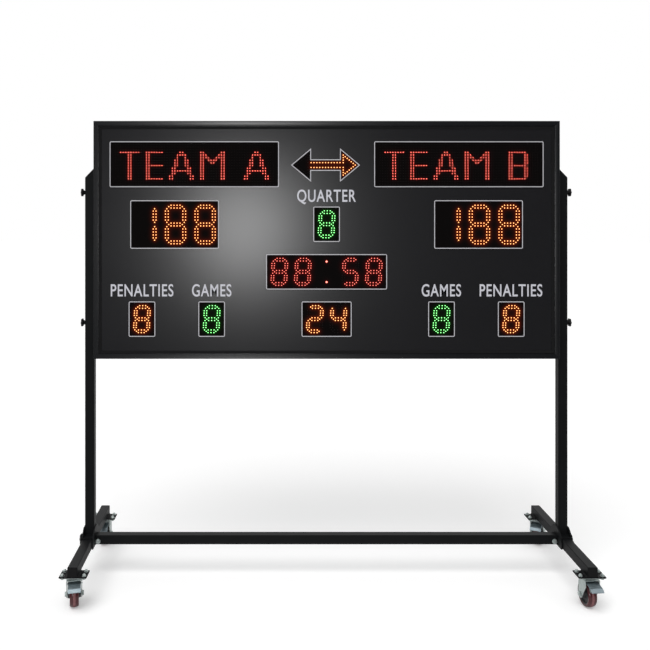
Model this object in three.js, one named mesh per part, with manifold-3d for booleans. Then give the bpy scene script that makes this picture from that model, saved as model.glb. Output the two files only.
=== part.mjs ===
// Electronic scoreboard hung between the posts of a wheeled stand.
// Millimetres. +X is to the right seen from the front, +Y to the back, +Z up.
// The floor is at Z 0 and the origin lies under the middle of the board.
import * as THREE from 'three';
import { mergeVertices } from 'three/addons/utils/BufferGeometryUtils.js';
import Module from 'manifold-3d';

const wasm = await Module();
wasm.setup();

// Clearances and overruns
const fit = 0.3;
const runningGap = 0.6;
const overrun = 2;

// Board
const boardWidth = 2000;
const boardHeight = 1020;
const boardDepth = 80;
const boardBottom = 938;

// Frame rail section
const railFace = 34;
const railWall = 2.2;
const railCrestWidth = 20;
const railCrestDepth = 3.2;
const railBevelDepth = 5.2;
const crestStartShare = 0.12;
const railLip = 1.6;
const railTongueReach = 12;
const railTongueThick = 1.6;
const railFlangeReach = 24;
const railFlangeThick = 1.8;

// Front panel and rear cover
const panelThick = 4;
const coverThick = 1.5;
const ventWidth = 120;
const ventHeight = 8;
const ventPitch = 24;
const ventRows = 4;
const ventBankShare = 0.62;
const ventBankDrop = 130;

// Square tubes of the stand
const tubeSize = 40;
const tubeWall = 2;
const tubeRound = 3;
const tubeInnerRound = 1;

// Posts, feet and crossbar
const postTopDrop = 203;
const postCut = 42;
const capThick = 2.5;
const capPlug = 14;
const footLength = 666;
const footEndThick = 3;
const mountPlateWidth = 110;
const mountPlateDepth = 67;
const mountPlateThick = 4;

// Saddle bracket at each post base
const saddleLength = 140;
const saddleShoulder = 126;
const saddleWall = 5;
const saddleRise = 30;
const saddleNeck = 44;
const saddleDrop = 5;
const spigotHeight = 60;
const stubLength = 70;
const stubWall = 3;
const saddleBoltPlace = 52;
const saddleBoltRadius = 9;
const saddleBoltHead = 8;

// Crossbar bolt
const crossBoltRadius = 5;
const crossBoltHead = 9.5;
const crossBoltHeadThick = 7;
const crossWasherRadius = 10.5;
const crossWasherThick = 2;
const crossBoltInset = 11;
const crossBoltDrop = 6;

// Clamp knob
const knobRadius = 18.5;
const knobLobe = 1.6;
const knobLobes = 6;
const knobThick = 14;
const knobBevel = 2;
const knobNeckRadius = 11;
const knobNeck = 5;
const studRadius = 4;
const studReach = 14;
const boardKnobDrop = 306;
const boardKnobRise = 151;

// Caster
const casterHeight = 130;
const casterPlateWidth = 102;
const casterPlateDepth = 63;
const casterPlateThick = 3;
const casterBoltX = 43;
const casterBoltY = 20;
const casterBoltRadius = 4;
const casterHexRadius = 7.4;
const casterNutThick = 6.5;
const casterBoltTip = 3;
const casterBoltHeadThick = 5;
const raceRadius = 26;
const raceHeight = 6;
const kingpinRadius = 7;
const kingpinHeadRadius = 12;
const kingpinHeadThick = 4;
const forkWall = 3;
const forkInner = 54;
const forkReach = 27;
const forkLegFoot = 15;
const forkLegTurn = 22;
const wheelRadius = 50;
const wheelWidth = 36;
const wheelCrown = 3.5;
const wheelShoulder = 6;
const hubRadius = 15;
const hubWidth = 52;
const webWidth = 20;
const webRim = 36;
const axleRadius = 6;
const axleHexRadius = 9.5;
const axleHexThick = 7;
const trail = 16;
const pedalWidth = 50;
const pedalThick = 2.5;
const pedalPivotForward = 14;
const pedalPivotDrop = 27;
const pedalPinRadius = 3;
const pedalPinEnd = 1.6;
const pedalReach = 70;
const pedalShoeWidth = 28;
const pedalShoeGap = 6.5;
const pedalShoeThick = 5;
const pedalShoeLow = 152;
const pedalShoeHigh = 142;
const pedalFall = 14;
const pedalShares = [[0, 0], [0.42, 0], [0.6, 0.7], [0.9, 0.8], [1, 1.2]];
const frontLeftHeading = 13;
const frontRightHeading = 5;
const rearRightHeading = -28;
const rearLeftHeading = 2;

// Lamp boards on the front panel
const lampPlateThick = 2.2;
const rimWidth = 6;
const rimRise = 0.8;
const rimRound = 8;
const lampRise = 0.6;
const fieldMargin = 9;
const matrixEdgeGap = 34;
const matrixMiddleGap = 203;
const matrixHeight = 199;
const scorePitch = 127;
const scoreShift = 4;
const scoreSideMargin = 17.75;
const scoreTopMargin = 18.8;
const smallPitch = 100.5;
const smallSideMargin = 22;
const smallTopMargin = 16.9;
const colonSpace = 102;
const colonSpread = 44;
const colonRadius = 5;
const arrowX = -4.5;
const arrowHalfLength = 148;
const arrowHeadInner = 62;
const arrowHeadHalf = 72;
const arrowShaftHalf = 27;

// Places of the lamp boards: shares of the board's half width, and of its height below the top
const scoreShare = 0.652;
const foulShare = 0.493;
const timeoutShare = 0.792;
const matrixDropShare = 0.1819;
const arrowDropShare = 0.1853;
const scoreDropShare = 0.4353;
const periodDropShare = 0.4343;
const clockDropShare = 0.6343;
const lowRowDropShare = 0.8333;

// Seven bar digits: spacing of the bars, bar length and width, and slant
const bigDigitRise = 76.7;
const bigDigitSpan = 74.5;
const bigBarLength = 54;
const bigBarWidth = 19;
const smallDigitRise = 52.1;
const smallDigitSpan = 56.6;
const smallBarLength = 39;
const smallBarWidth = 16;
const digitSlantShare = 0.052;

// Electronics behind the panel
const supplyWidth = 215;
const supplyHeight = 115;
const supplyDepth = 30;
const supplyGap = 8.5;
const supplyRise = 130;
const supplyTerminal = 18;
const circuitWidth = 240;
const circuitHeight = 160;
const circuitThick = 1.6;
const circuitStandoff = 12;
const circuitStandoffRadius = 4;
const circuitInset = 10;
const circuitShare = 0.18;
const chipSize = 34;
const chipRise = 4;
const socketWidth = 90;
const socketHeight = 14;
const socketRise = 10;
const hornRadius = 52;
const hornNeckRadius = 30;
const hornDepth = 40;
const hornFlange = 5;
const hornShare = 0.42;
const grilleRadius = 4;
const grilleRing = 26;
const grilleHoles = 6;
const inletWidth = 62;
const inletHeight = 34;
const inletFlange = 2;
const inletBodyWidth = 48;
const inletBodyHeight = 26;
const inletBodyDepth = 22;
const inletInset = 300;
const inletRise = 100;
const socketCavityWidth = 24;
const socketCavityHeight = 16.5;
const socketCavityDepth = 17;
const socketCavityX = -11;
const inletPinWidth = 2;
const inletPinHeight = 4;
const inletPinLength = 10;
const inletPinSpread = 7;
const inletPinLift = 3;
const rockerWidth = 10;
const rockerHeight = 18;
const rockerDepth = 6;
const rockerX = 13;
const rockerWell = 9;
const rockerTilt = 9;
const rockerProud = 3;
const rockerRootShare = 0.5;
const rockerDipShare = 0.4;

// Numbers of sides on round shapes
const wheelSides = 24;
const roundSides = 16;
const boltSides = 10;
const cornerSteps = 1;
const crestSteps = 6;
const legSteps = 6;
const hexSides = 6;
const shankSides = 8;
const lobeSteps = 4;

// Places worked out from the driving dimensions
const boardTop = boardBottom + boardHeight;
const postTop = boardTop - postTopDrop;
const boardFront = -boardDepth / 2;
const boardBack = boardDepth / 2;
const boardMiddle = boardBottom + boardHeight / 2;
const panelFront = boardFront + railBevelDepth + railLip + fit;
const coverFront = boardBack - coverThick;
const postX = boardWidth / 2 + fit + tubeSize / 2;
const mountPlateBottom = casterHeight + fit;
const footBottom = mountPlateBottom + mountPlateThick;
const footTop = footBottom + tubeSize;
const footMiddle = footBottom + tubeSize / 2;
const webBottom = footTop + fit;
const postBottom = webBottom + saddleWall + fit;
const cheekGap = tubeSize + 2 * fit;
const cheekOuter = cheekGap / 2 + saddleWall;
const innerBore = tubeSize - 2 * tubeWall;
const spigotSize = innerBore - 2 * fit;
const crossbarHalf = postX - cheekOuter - fit;
const casterPlateBottom = casterHeight - casterPlateThick;
const forkTop = casterPlateBottom - raceHeight - runningGap;
const forkCrownBottom = forkTop - forkWall;
const casterY = footLength / 2 - mountPlateDepth / 2;
const halfWidth = boardWidth / 2;
const ventBankX = halfWidth * ventBankShare;
const circuitX = halfWidth * circuitShare;
const hornX = -halfWidth * hornShare;
const inletX = halfWidth - inletInset;
const supplyX = inletX - inletBodyWidth / 2 - supplyGap - supplyWidth / 2;
const matrixWidth = halfWidth - railFace - matrixEdgeGap - matrixMiddleGap;
const matrixX = matrixMiddleGap + matrixWidth / 2;
const scoreWidth = 2 * scorePitch + bigDigitSpan + bigBarWidth + 2 * scoreSideMargin;
const scoreHeight = 2 * bigDigitRise + bigBarWidth + 2 * scoreTopMargin;
const singleWidth = smallDigitSpan + smallBarWidth + 2 * smallSideMargin;
const smallHeight = 2 * smallDigitRise + smallBarWidth + 2 * smallTopMargin;
const shotWidth = singleWidth + smallPitch;
const clockWidth = singleWidth + 2 * smallPitch + 2 * colonSpace;

// A finish that gives each mesh a material of its own.
function finish(color, roughness, metalness) {
  return () => new THREE.MeshStandardMaterial({ color, roughness, metalness });
}

const satinBlack = finish(0x17181a, 0.42, 0.5);
const panelBlack = finish(0x141518, 0.35, 0.1);
const powderBlack = finish(0x1a1b1c, 0.55, 0.2);
const coverGrey = finish(0x202123, 0.6, 0.3);
const lampBlack = finish(0x0d0d0e, 0.5, 0);
const knobBlack = finish(0x161617, 0.6, 0);
const zinc = finish(0xb9bec2, 0.3, 0.9);
const wheelMaroon = finish(0x5a1c1e, 0.45, 0);
const circuitGreen = finish(0x1d5a34, 0.5, 0);
const hornGrey = finish(0x2a2b2d, 0.5, 0);

// Turns a three.js geometry into a solid that can be joined and cut.
function solid(geometry) {
  const bare = geometry.clone();
  bare.deleteAttribute('normal');
  bare.deleteAttribute('uv');
  const merged = mergeVertices(bare);
  return new wasm.Manifold(new wasm.Mesh({
    numProp: 3,
    vertProperties: new Float32Array(merged.attributes.position.array),
    triVerts: new Uint32Array(merged.index.array),
  }));
}

// Turns a solid into a named mesh.
function piece(name, body, material) {
  const made = body.getMesh();
  const geometry = new THREE.BufferGeometry();
  geometry.setAttribute('position', new THREE.BufferAttribute(new Float32Array(made.vertProperties), 3));
  geometry.setIndex(new THREE.BufferAttribute(new Uint32Array(made.triVerts), 1));
  geometry.computeVertexNormals();
  const mesh = new THREE.Mesh(geometry, material);
  mesh.name = name;
  return mesh;
}

// A block given by its size and its centre.
function block(sizeX, sizeY, sizeZ, x = 0, y = 0, z = 0) {
  return solid(new THREE.BoxGeometry(sizeX, sizeY, sizeZ).translate(x, y, z));
}

// A round or many sided rod along one axis, given by its centre.
function rod(axis, radius, length, x = 0, y = 0, z = 0, sides = boltSides) {
  const geometry = new THREE.CylinderGeometry(radius, radius, length, sides);
  if (axis === 'x') geometry.rotateZ(Math.PI / 2);
  if (axis === 'z') geometry.rotateX(Math.PI / 2);
  return solid(geometry.translate(x, y, z));
}

// Turns geometry drawn in X and Y and grown along Z so that it lies across the given axis.
const alongX = new THREE.Matrix4().makeBasis(
  new THREE.Vector3(0, 1, 0),
  new THREE.Vector3(0, 0, 1),
  new THREE.Vector3(1, 0, 0),
);
const alongY = new THREE.Matrix4().makeRotationX(Math.PI / 2);

// Grows a flat shape by a length, straight edged.
function grow(shape, length) {
  return new THREE.ExtrudeGeometry(shape, { depth: length, bevelEnabled: false, curveSegments: cornerSteps });
}

// A sheet that stands across Y, from its front face backwards.
function upright(shape, frontY, thick) {
  return solid(grow(shape, thick).applyMatrix4(alongY).translate(0, frontY + thick, 0));
}

// A plate that stands across X, from its low X face.
function sideways(shape, lowX, thick) {
  return solid(grow(shape, thick).applyMatrix4(alongX).translate(lowX, 0, 0));
}

// A rectangle with round corners about a centre.
function roundedRect(width, height, round) {
  const shape = new THREE.Shape();
  const halfW = width / 2 - round;
  const halfH = height / 2 - round;
  shape.absarc(halfW, -halfH, round, -Math.PI / 2, 0);
  shape.absarc(halfW, halfH, round, 0, Math.PI / 2);
  shape.absarc(-halfW, halfH, round, Math.PI / 2, Math.PI);
  shape.absarc(-halfW, -halfH, round, Math.PI, Math.PI * 1.5);
  return shape;
}

// A closed outline through points.
function outline(points) {
  return new THREE.Shape(points.map(([x, y]) => new THREE.Vector2(x, y)));
}

// Moves every side of an outline inwards by one distance, with sharp corners.
function inset(points, distance) {
  const count = points.length;
  return points.map((point, i) => {
    const before = points[(i + count - 1) % count];
    const after = points[(i + 1) % count];
    const first = new THREE.Vector2(point[0] - before[0], point[1] - before[1]).normalize();
    const second = new THREE.Vector2(after[0] - point[0], after[1] - point[1]).normalize();
    const normal = new THREE.Vector2(-first.y - second.y, first.x + second.x).normalize();
    const stretch = distance / (normal.x * -first.y + normal.y * first.x);
    return [point[0] + normal.x * stretch, point[1] + normal.y * stretch];
  });
}

// Square tube section: outer and inner rounded squares.
function tubeShape() {
  const shape = roundedRect(tubeSize, tubeSize, tubeRound);
  shape.holes.push(roundedRect(innerBore, innerBore, tubeInnerRound));
  return shape;
}

// Frame rail section, drawn as depth against distance from the outer edge.
function railSection() {
  const crest = [];
  for (let i = 0; i <= crestSteps; i += 1) {
    const share = i / crestSteps;
    const rise = Math.sin(Math.PI * (crestStartShare + (1 - 2 * crestStartShare) * share));
    crest.push([boardFront + railCrestDepth * (1 - rise), railCrestWidth * share]);
  }
  const lipFront = boardFront + railBevelDepth;
  const grooveFront = lipFront + railLip;
  const grooveBack = grooveFront + panelThick + 2 * fit;
  const tongueBack = grooveBack + railTongueThick;
  const flangeBack = coverFront - fit;
  const flangeFront = flangeBack - railFlangeThick;
  return outline([
    [boardBack, 0],
    [boardBack, railWall],
    [flangeBack, railWall],
    [flangeBack, railFlangeReach],
    [flangeFront, railFlangeReach],
    [flangeFront, railWall],
    [tongueBack, railWall],
    [tongueBack, railTongueReach],
    [grooveBack, railTongueReach],
    [grooveBack, railWall],
    [grooveFront, railWall],
    [grooveFront, railFace],
    [lipFront, railFace],
    ...crest.reverse(),
  ]);
}

// One mitred frame rail, laid along the bottom edge of a board of the given length and turned about Y.
function rail(length, reach, turn) {
  const geometry = grow(railSection(), length);
  const places = geometry.attributes.position;
  for (let i = 0; i < places.count; i += 1) {
    const inward = places.getY(i) + fit;
    const atStart = places.getZ(i) < length / 2;
    places.setZ(i, atStart ? inward : length - inward);
  }
  geometry.translate(0, 0, -length / 2).applyMatrix4(alongX).translate(0, 0, -reach / 2);
  return solid(geometry.rotateY(turn).translate(0, 0, boardMiddle));
}

// Four frame rails, holes for the clamp studs cut in the two upright ones.
function frameRails(group) {
  const stud = (side, z) => rod('x', studRadius + runningGap, railFlangeReach, side * halfWidth, 0, z);
  const low = boardBottom + boardKnobRise;
  const high = boardTop - boardKnobDrop;
  const rails = {
    frame_bottom: rail(boardWidth, boardHeight, 0),
    frame_top: rail(boardWidth, boardHeight, Math.PI),
    frame_left: rail(boardHeight, boardWidth, Math.PI / 2).subtract(stud(-1, low)).subtract(stud(-1, high)),
    frame_right: rail(boardHeight, boardWidth, -Math.PI / 2).subtract(stud(1, low)).subtract(stud(1, high)),
  };
  for (const [name, body] of Object.entries(rails)) group.add(piece(name, body, satinBlack()));
}

// The front panel sits in the grooves of the rails.
function frontPanel(group) {
  const edge = railWall + fit;
  const sheet = block(
    boardWidth - 2 * edge, panelThick, boardHeight - 2 * edge,
    0, panelFront + panelThick / 2, boardMiddle,
  );
  group.add(piece('front_panel', sheet, panelBlack()));
}

// The rear cover lies on the rear flanges, with vents, a sound grille and the inlet opening.
function rearCover(group) {
  const edge = railWall + fit;
  const middleY = coverFront + coverThick / 2;
  let sheet = block(boardWidth - 2 * edge, coverThick, boardHeight - 2 * edge, 0, middleY, boardMiddle);
  for (const [side, end] of [[-1, -1], [-1, 1], [1, 1]]) {
    for (let row = 0; row < ventRows; row += 1) {
      const z = boardMiddle + end * (boardHeight / 2 - ventBankDrop - row * ventPitch);
      const slot = block(ventWidth, coverThick + overrun, ventHeight, side * ventBankX, middleY, z);
      sheet = sheet.subtract(slot);
    }
  }
  for (let hole = 0; hole < grilleHoles; hole += 1) {
    const turn = 2 * Math.PI * hole / grilleHoles;
    const x = hornX + grilleRing / 2 * Math.cos(turn);
    const z = boardMiddle + grilleRing / 2 * Math.sin(turn);
    sheet = sheet.subtract(rod('y', grilleRadius, coverThick + overrun, x, middleY, z));
  }
  const inlet = block(
    inletBodyWidth + 2 * fit, coverThick + overrun, inletBodyHeight + 2 * fit,
    inletX, middleY, boardBottom + inletRise,
  );
  group.add(piece('rear_cover', sheet.subtract(inlet), coverGrey()));
}

// A bar of lamps, its length along X or Z.
function lampBar(length, width, upward) {
  const half = length / 2;
  const side = width / 2;
  const points = [[-half, -side], [half, -side], [half, side], [-half, side]];
  return upward ? points.map(([x, y]) => [-y, x]) : points;
}

// The bars of one digit about its centre, slanted. The half digit has only its right bars.
function digitBars(big, halfDigit = false) {
  const rise = big ? bigDigitRise : smallDigitRise;
  const span = (big ? bigDigitSpan : smallDigitSpan) / 2;
  const length = big ? bigBarLength : smallBarLength;
  const width = big ? bigBarWidth : smallBarWidth;
  const slant = big ? 0 : digitSlantShare;
  const places = [[span, rise / 2, true], [span, -rise / 2, true]];
  if (!halfDigit) {
    places.push([-span, rise / 2, true], [-span, -rise / 2, true]);
    places.push([0, rise, false], [0, 0, false], [0, -rise, false]);
  }
  return places.map(([x, z, upward]) => lampBar(length, width, upward)
    .map(([px, pz]) => [x + px + slant * (z + pz), z + pz]));
}

// A lamp board: a plate with a raised outline and raised lamp bars, its back on the front panel.
function lampBoard(x, dropShare, plateShape, rimShape, bars) {
  const back = panelFront - fit;
  const face = back - lampPlateThick;
  const root = lampPlateThick / 2;
  let body = upright(plateShape, face, lampPlateThick);
  body = body.add(upright(rimShape, face - rimRise, rimRise + root));
  for (const bar of bars) body = body.add(upright(outline(bar), face - lampRise, lampRise + root));
  return body.translate([x, 0, boardTop - boardHeight * dropShare]);
}

// A rectangular lamp board.
function windowBoard(x, dropShare, width, height, bars) {
  const rim = roundedRect(width, height, rimRound);
  rim.holes.push(roundedRect(width - 2 * rimWidth, height - 2 * rimWidth, rimRound - rimWidth));
  return lampBoard(x, dropShare, roundedRect(width, height, rimRound), rim, bars);
}

// Moves the bars of a digit to its place on the board.
function shifted(bars, x) {
  return bars.map((bar) => bar.map(([px, pz]) => [px + x, pz]));
}

// A small many sided spot for one colon lamp.
function colonSpot(z) {
  const points = [];
  for (let i = 0; i < hexSides; i += 1) {
    const turn = 2 * Math.PI * i / hexSides;
    points.push([colonRadius * Math.cos(turn), z + colonRadius * Math.sin(turn)]);
  }
  return points;
}

// The double arrow board of the possession display.
function arrowBoard() {
  const points = [
    [-arrowHalfLength, 0], [-arrowHeadInner, -arrowHeadHalf], [-arrowHeadInner, -arrowShaftHalf],
    [arrowHeadInner, -arrowShaftHalf], [arrowHeadInner, -arrowHeadHalf], [arrowHalfLength, 0],
    [arrowHeadInner, arrowHeadHalf], [arrowHeadInner, arrowShaftHalf],
    [-arrowHeadInner, arrowShaftHalf], [-arrowHeadInner, arrowHeadHalf],
  ];
  const rim = outline(points);
  rim.holes.push(outline(inset(points, rimWidth)));
  return lampBoard(arrowX, arrowDropShare, outline(points), rim, []);
}

// All lamp boards.
function lampBoards(group) {
  const digit = digitBars(false);
  const score = [
    ...shifted(digitBars(true, true), scoreShift - scorePitch),
    ...shifted(digitBars(true), scoreShift),
    ...shifted(digitBars(true), scoreShift + scorePitch),
  ];
  const clockX = [-colonSpace - smallPitch, -colonSpace, colonSpace, colonSpace + smallPitch];
  const clock = clockX.flatMap((x) => shifted(digit, x));
  clock.push(colonSpot(colonSpread), colonSpot(-colonSpread));
  const shot = [-smallPitch / 2, smallPitch / 2].flatMap((x) => shifted(digit, x));
  const fieldWidth = matrixWidth - 2 * rimWidth - 2 * fieldMargin;
  const fieldHeight = matrixHeight - 2 * rimWidth - 2 * fieldMargin;
  const field = [[
    [-fieldWidth / 2, -fieldHeight / 2], [fieldWidth / 2, -fieldHeight / 2],
    [fieldWidth / 2, fieldHeight / 2], [-fieldWidth / 2, fieldHeight / 2],
  ]];
  const boards = {
    period_display: windowBoard(0, periodDropShare, singleWidth, smallHeight, digit),
    clock_display: windowBoard(0, clockDropShare, clockWidth, smallHeight, clock),
    shot_clock_display: windowBoard(0, lowRowDropShare, shotWidth, smallHeight, shot),
    arrow_display: arrowBoard(),
  };
  for (const [side, word] of [[-1, 'left'], [1, 'right']]) {
    const half = side * halfWidth;
    boards[`team_display_${word}`] = windowBoard(
      side * matrixX, matrixDropShare, matrixWidth, matrixHeight, field,
    );
    boards[`score_display_${word}`] = windowBoard(
      half * scoreShare, scoreDropShare, scoreWidth, scoreHeight, score,
    );
    boards[`foul_display_${word}`] = windowBoard(
      half * foulShare, lowRowDropShare, singleWidth, smallHeight, digit,
    );
    boards[`timeout_display_${word}`] = windowBoard(
      half * timeoutShare, lowRowDropShare, singleWidth, smallHeight, digit,
    );
  }
  for (const [name, body] of Object.entries(boards)) group.add(piece(name, body, lampBlack()));
}

// Power supply box with its terminal step, on the inside of the cover.
function powerSupply() {
  const back = coverFront - fit;
  const z = boardBottom + supplyRise;
  const box = block(supplyWidth, supplyDepth, supplyHeight, supplyX, back - supplyDepth / 2, z);
  const stepX = supplyX - supplyWidth / 2 + supplyTerminal / 2;
  return box.subtract(block(
    supplyTerminal + fit, supplyDepth, supplyHeight + overrun,
    stepX - fit, back - supplyDepth, z,
  ));
}

// Controller board on four standoffs, with a chip and a row of sockets.
function controllerBoard() {
  const back = coverFront - fit;
  const middle = back - circuitStandoff - circuitThick / 2;
  let body = block(circuitWidth, circuitThick, circuitHeight, circuitX, middle, boardMiddle);
  for (const side of [-1, 1]) {
    for (const end of [-1, 1]) {
      const x = circuitX + side * (circuitWidth / 2 - circuitInset);
      const z = boardMiddle + end * (circuitHeight / 2 - circuitInset);
      const length = circuitStandoff + circuitThick / 2;
      body = body.add(rod('y', circuitStandoffRadius, length, x, back - length / 2, z));
    }
  }
  const face = middle - circuitThick / 2;
  body = body.add(block(chipSize, 2 * chipRise, chipSize, circuitX, face, boardMiddle));
  const socketZ = boardMiddle - circuitHeight / 2 + socketHeight;
  return body.add(block(socketWidth, 2 * socketRise, socketHeight, circuitX, face, socketZ));
}

// Horn: a flared drum with a mounting flange against the cover.
function horn() {
  const back = coverFront - fit;
  const flange = rod('y', hornRadius, hornFlange, hornX, back - hornFlange / 2, boardMiddle, roundSides);
  const root = hornFlange / 2;
  const mouthRadius = hornRadius - hornFlange;
  const drum = new THREE.CylinderGeometry(mouthRadius, hornNeckRadius, hornDepth - root, roundSides);
  drum.translate(hornX, back - (hornDepth + root) / 2, boardMiddle);
  return flange.add(solid(drum));
}

// Power inlet and switch housing, with its socket and pins and the well of the rocker.
function powerInlet() {
  const z = boardBottom + inletRise;
  const flangeFront = boardBack + fit;
  const mouth = flangeFront + inletFlange;
  const flange = block(inletWidth, inletFlange, inletHeight, inletX, flangeFront + inletFlange / 2, z);
  const depth = inletBodyDepth + inletFlange / 2;
  const housingY = mouth - (inletFlange + depth) / 2;
  const housing = block(inletBodyWidth, depth, inletBodyHeight, inletX, housingY, z);
  const cavityDepth = socketCavityDepth + overrun;
  const cavityX = inletX + socketCavityX;
  const cavity = block(
    socketCavityWidth, cavityDepth, socketCavityHeight,
    cavityX, mouth + overrun - cavityDepth / 2, z,
  );
  const wellDepth = rockerWell + overrun;
  const well = block(
    rockerWidth + 2 * runningGap, wellDepth, rockerHeight + 2 * runningGap,
    inletX + rockerX, mouth + overrun - wellDepth / 2, z,
  );
  let body = flange.add(housing).subtract(cavity).subtract(well);
  const pinBack = mouth - socketCavityDepth;
  const pins = [[-inletPinSpread, -inletPinLift], [0, inletPinLift], [inletPinSpread, -inletPinLift]];
  for (const [x, lift] of pins) {
    const length = inletPinLength + overrun;
    body = body.add(block(
      inletPinWidth, length, inletPinHeight,
      cavityX + x, pinBack + inletPinLength - length / 2, z + lift,
    ));
  }
  return body;
}

// Rocker: a wedge with two slanted faces that stands in the well, tilted to its pressed side.
function rocker() {
  const half = rockerHeight / 2;
  const mouth = boardBack + fit + inletFlange;
  const shape = outline([
    [-rockerDepth, -half * rockerRootShare], [0, -half], [rockerProud, -half],
    [rockerProud * rockerDipShare, 0],
    [rockerProud, half], [0, half], [-rockerDepth, half * rockerRootShare],
  ]);
  const tilt = THREE.MathUtils.degToRad(rockerTilt);
  const geometry = grow(shape, rockerWidth).applyMatrix4(alongX).rotateX(tilt);
  return solid(geometry.translate(inletX + rockerX - rockerWidth / 2, mouth, boardBottom + inletRise));
}

// Pieces on and behind the cover.
function electronics(group) {
  group.add(piece('power_supply', powerSupply(), zinc()));
  group.add(piece('controller_board', controllerBoard(), circuitGreen()));
  group.add(piece('horn', horn(), hornGrey()));
  group.add(piece('power_inlet', powerInlet(), knobBlack()));
  group.add(piece('rocker_switch', rocker(), knobBlack()));
}

// A clamp knob with lobes, neck and stud, its seat at X 0 and its stud towards low X.
function clampKnob(studLength) {
  const points = [];
  const steps = knobLobes * lobeSteps;
  for (let i = 0; i < steps; i += 1) {
    const turn = 2 * Math.PI * i / steps;
    const radius = knobRadius - knobBevel - knobLobe * (1 - Math.cos(knobLobes * turn));
    points.push([radius * Math.cos(turn), radius * Math.sin(turn)]);
  }
  const head = new THREE.ExtrudeGeometry(outline(points), {
    depth: knobThick - 2 * knobBevel,
    bevelThickness: knobBevel,
    bevelSize: knobBevel,
    bevelSegments: 1,
  });
  const headBody = solid(head.applyMatrix4(alongX).translate(knobNeck + knobBevel, 0, 0));
  const neckLength = knobNeck + knobBevel;
  const neck = rod('x', knobNeckRadius, neckLength, neckLength / 2, 0, 0, roundSides);
  const length = studLength + knobNeck;
  return headBody.add(neck).add(rod('x', studRadius, length, knobNeck - length / 2));
}

// The same solid turned to face the other side of the object.
function facing(body, side) {
  return side > 0 ? body : body.rotate([0, 0, 180]);
}

// Post of one side, its top cut on a slant that falls outwards, with its cap.
function post(group, side, word) {
  const length = postTop - postBottom;
  const slope = postCut / tubeSize;
  const slanted = (geometry, top) => {
    const places = geometry.attributes.position;
    for (let i = 0; i < places.count; i += 1) {
      if (places.getZ(i) < top) continue;
      places.setZ(i, places.getZ(i) - slope * (side * places.getX(i) + tubeSize / 2));
    }
    return geometry;
  };
  let tube = solid(slanted(grow(tubeShape(), length), length / 2).translate(side * postX, 0, postBottom));
  for (const z of [boardBottom + boardKnobRise, boardTop - boardKnobDrop]) {
    tube = tube.subtract(rod('x', studRadius + fit, tubeSize + overrun, side * postX, 0, z));
  }
  group.add(piece(`post_${word}`, tube, powderBlack()));
  const lid = slanted(grow(roundedRect(tubeSize, tubeSize, tubeRound), capThick), 0);
  const plugLength = capPlug + fit + capThick / 2;
  const plug = slanted(grow(roundedRect(spigotSize, spigotSize, tubeInnerRound), plugLength), 0);
  const cap = solid(lid.translate(0, 0, fit)).add(solid(plug.translate(0, 0, -capPlug)));
  group.add(piece(`post_cap_${word}`, cap.translate([side * postX, 0, postTop]), knobBlack()));
}

// Foot tube with its closed ends and two mounting plates.
function foot(group, side, word) {
  const core = solid(grow(roundedRect(tubeSize, tubeSize, tubeRound), footLength).applyMatrix4(alongY))
    .translate([0, footLength / 2, footMiddle]);
  const hollow = block(innerBore, footLength - 2 * footEndThick, innerBore, 0, 0, footMiddle);
  const crossHole = rod('x', studRadius + fit, tubeSize + overrun, 0, 0, footMiddle);
  const weldThick = mountPlateThick + tubeRound;
  const plateMiddle = mountPlateBottom + mountPlateThick / 2;
  let body = core;
  for (const end of [-1, 1]) {
    const y = end * casterY;
    const weldMiddle = mountPlateBottom + weldThick / 2;
    body = body.add(block(tubeSize - 2 * tubeRound, mountPlateDepth, weldThick, 0, y, weldMiddle));
    let plate = block(mountPlateWidth, mountPlateDepth, mountPlateThick, 0, y, plateMiddle);
    for (const boltSide of [-1, 1]) {
      for (const boltEnd of [-1, 1]) {
        plate = plate.subtract(rod(
          'z', casterBoltRadius + runningGap, mountPlateThick + overrun,
          boltSide * casterBoltX, y + boltEnd * casterBoltY, plateMiddle,
        ));
      }
    }
    body = body.add(plate);
  }
  body = body.subtract(hollow).subtract(crossHole);
  group.add(piece(`foot_${word}`, body.translate([side * postX, 0, 0]), powderBlack()));
}

// One cheek of a saddle: a plate with sloped shoulders that rises beside the post.
function cheekShape() {
  const low = footBottom - saddleDrop / 2;
  const top = webBottom + saddleWall + saddleRise;
  const shoulder = webBottom + saddleWall;
  return outline([
    [-saddleLength / 2, low], [saddleLength / 2, low], [saddleLength / 2, footMiddle],
    [saddleShoulder / 2, shoulder], [saddleNeck / 2, top], [-saddleNeck / 2, top],
    [-saddleShoulder / 2, shoulder], [-saddleLength / 2, footMiddle],
  ]);
}

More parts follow.
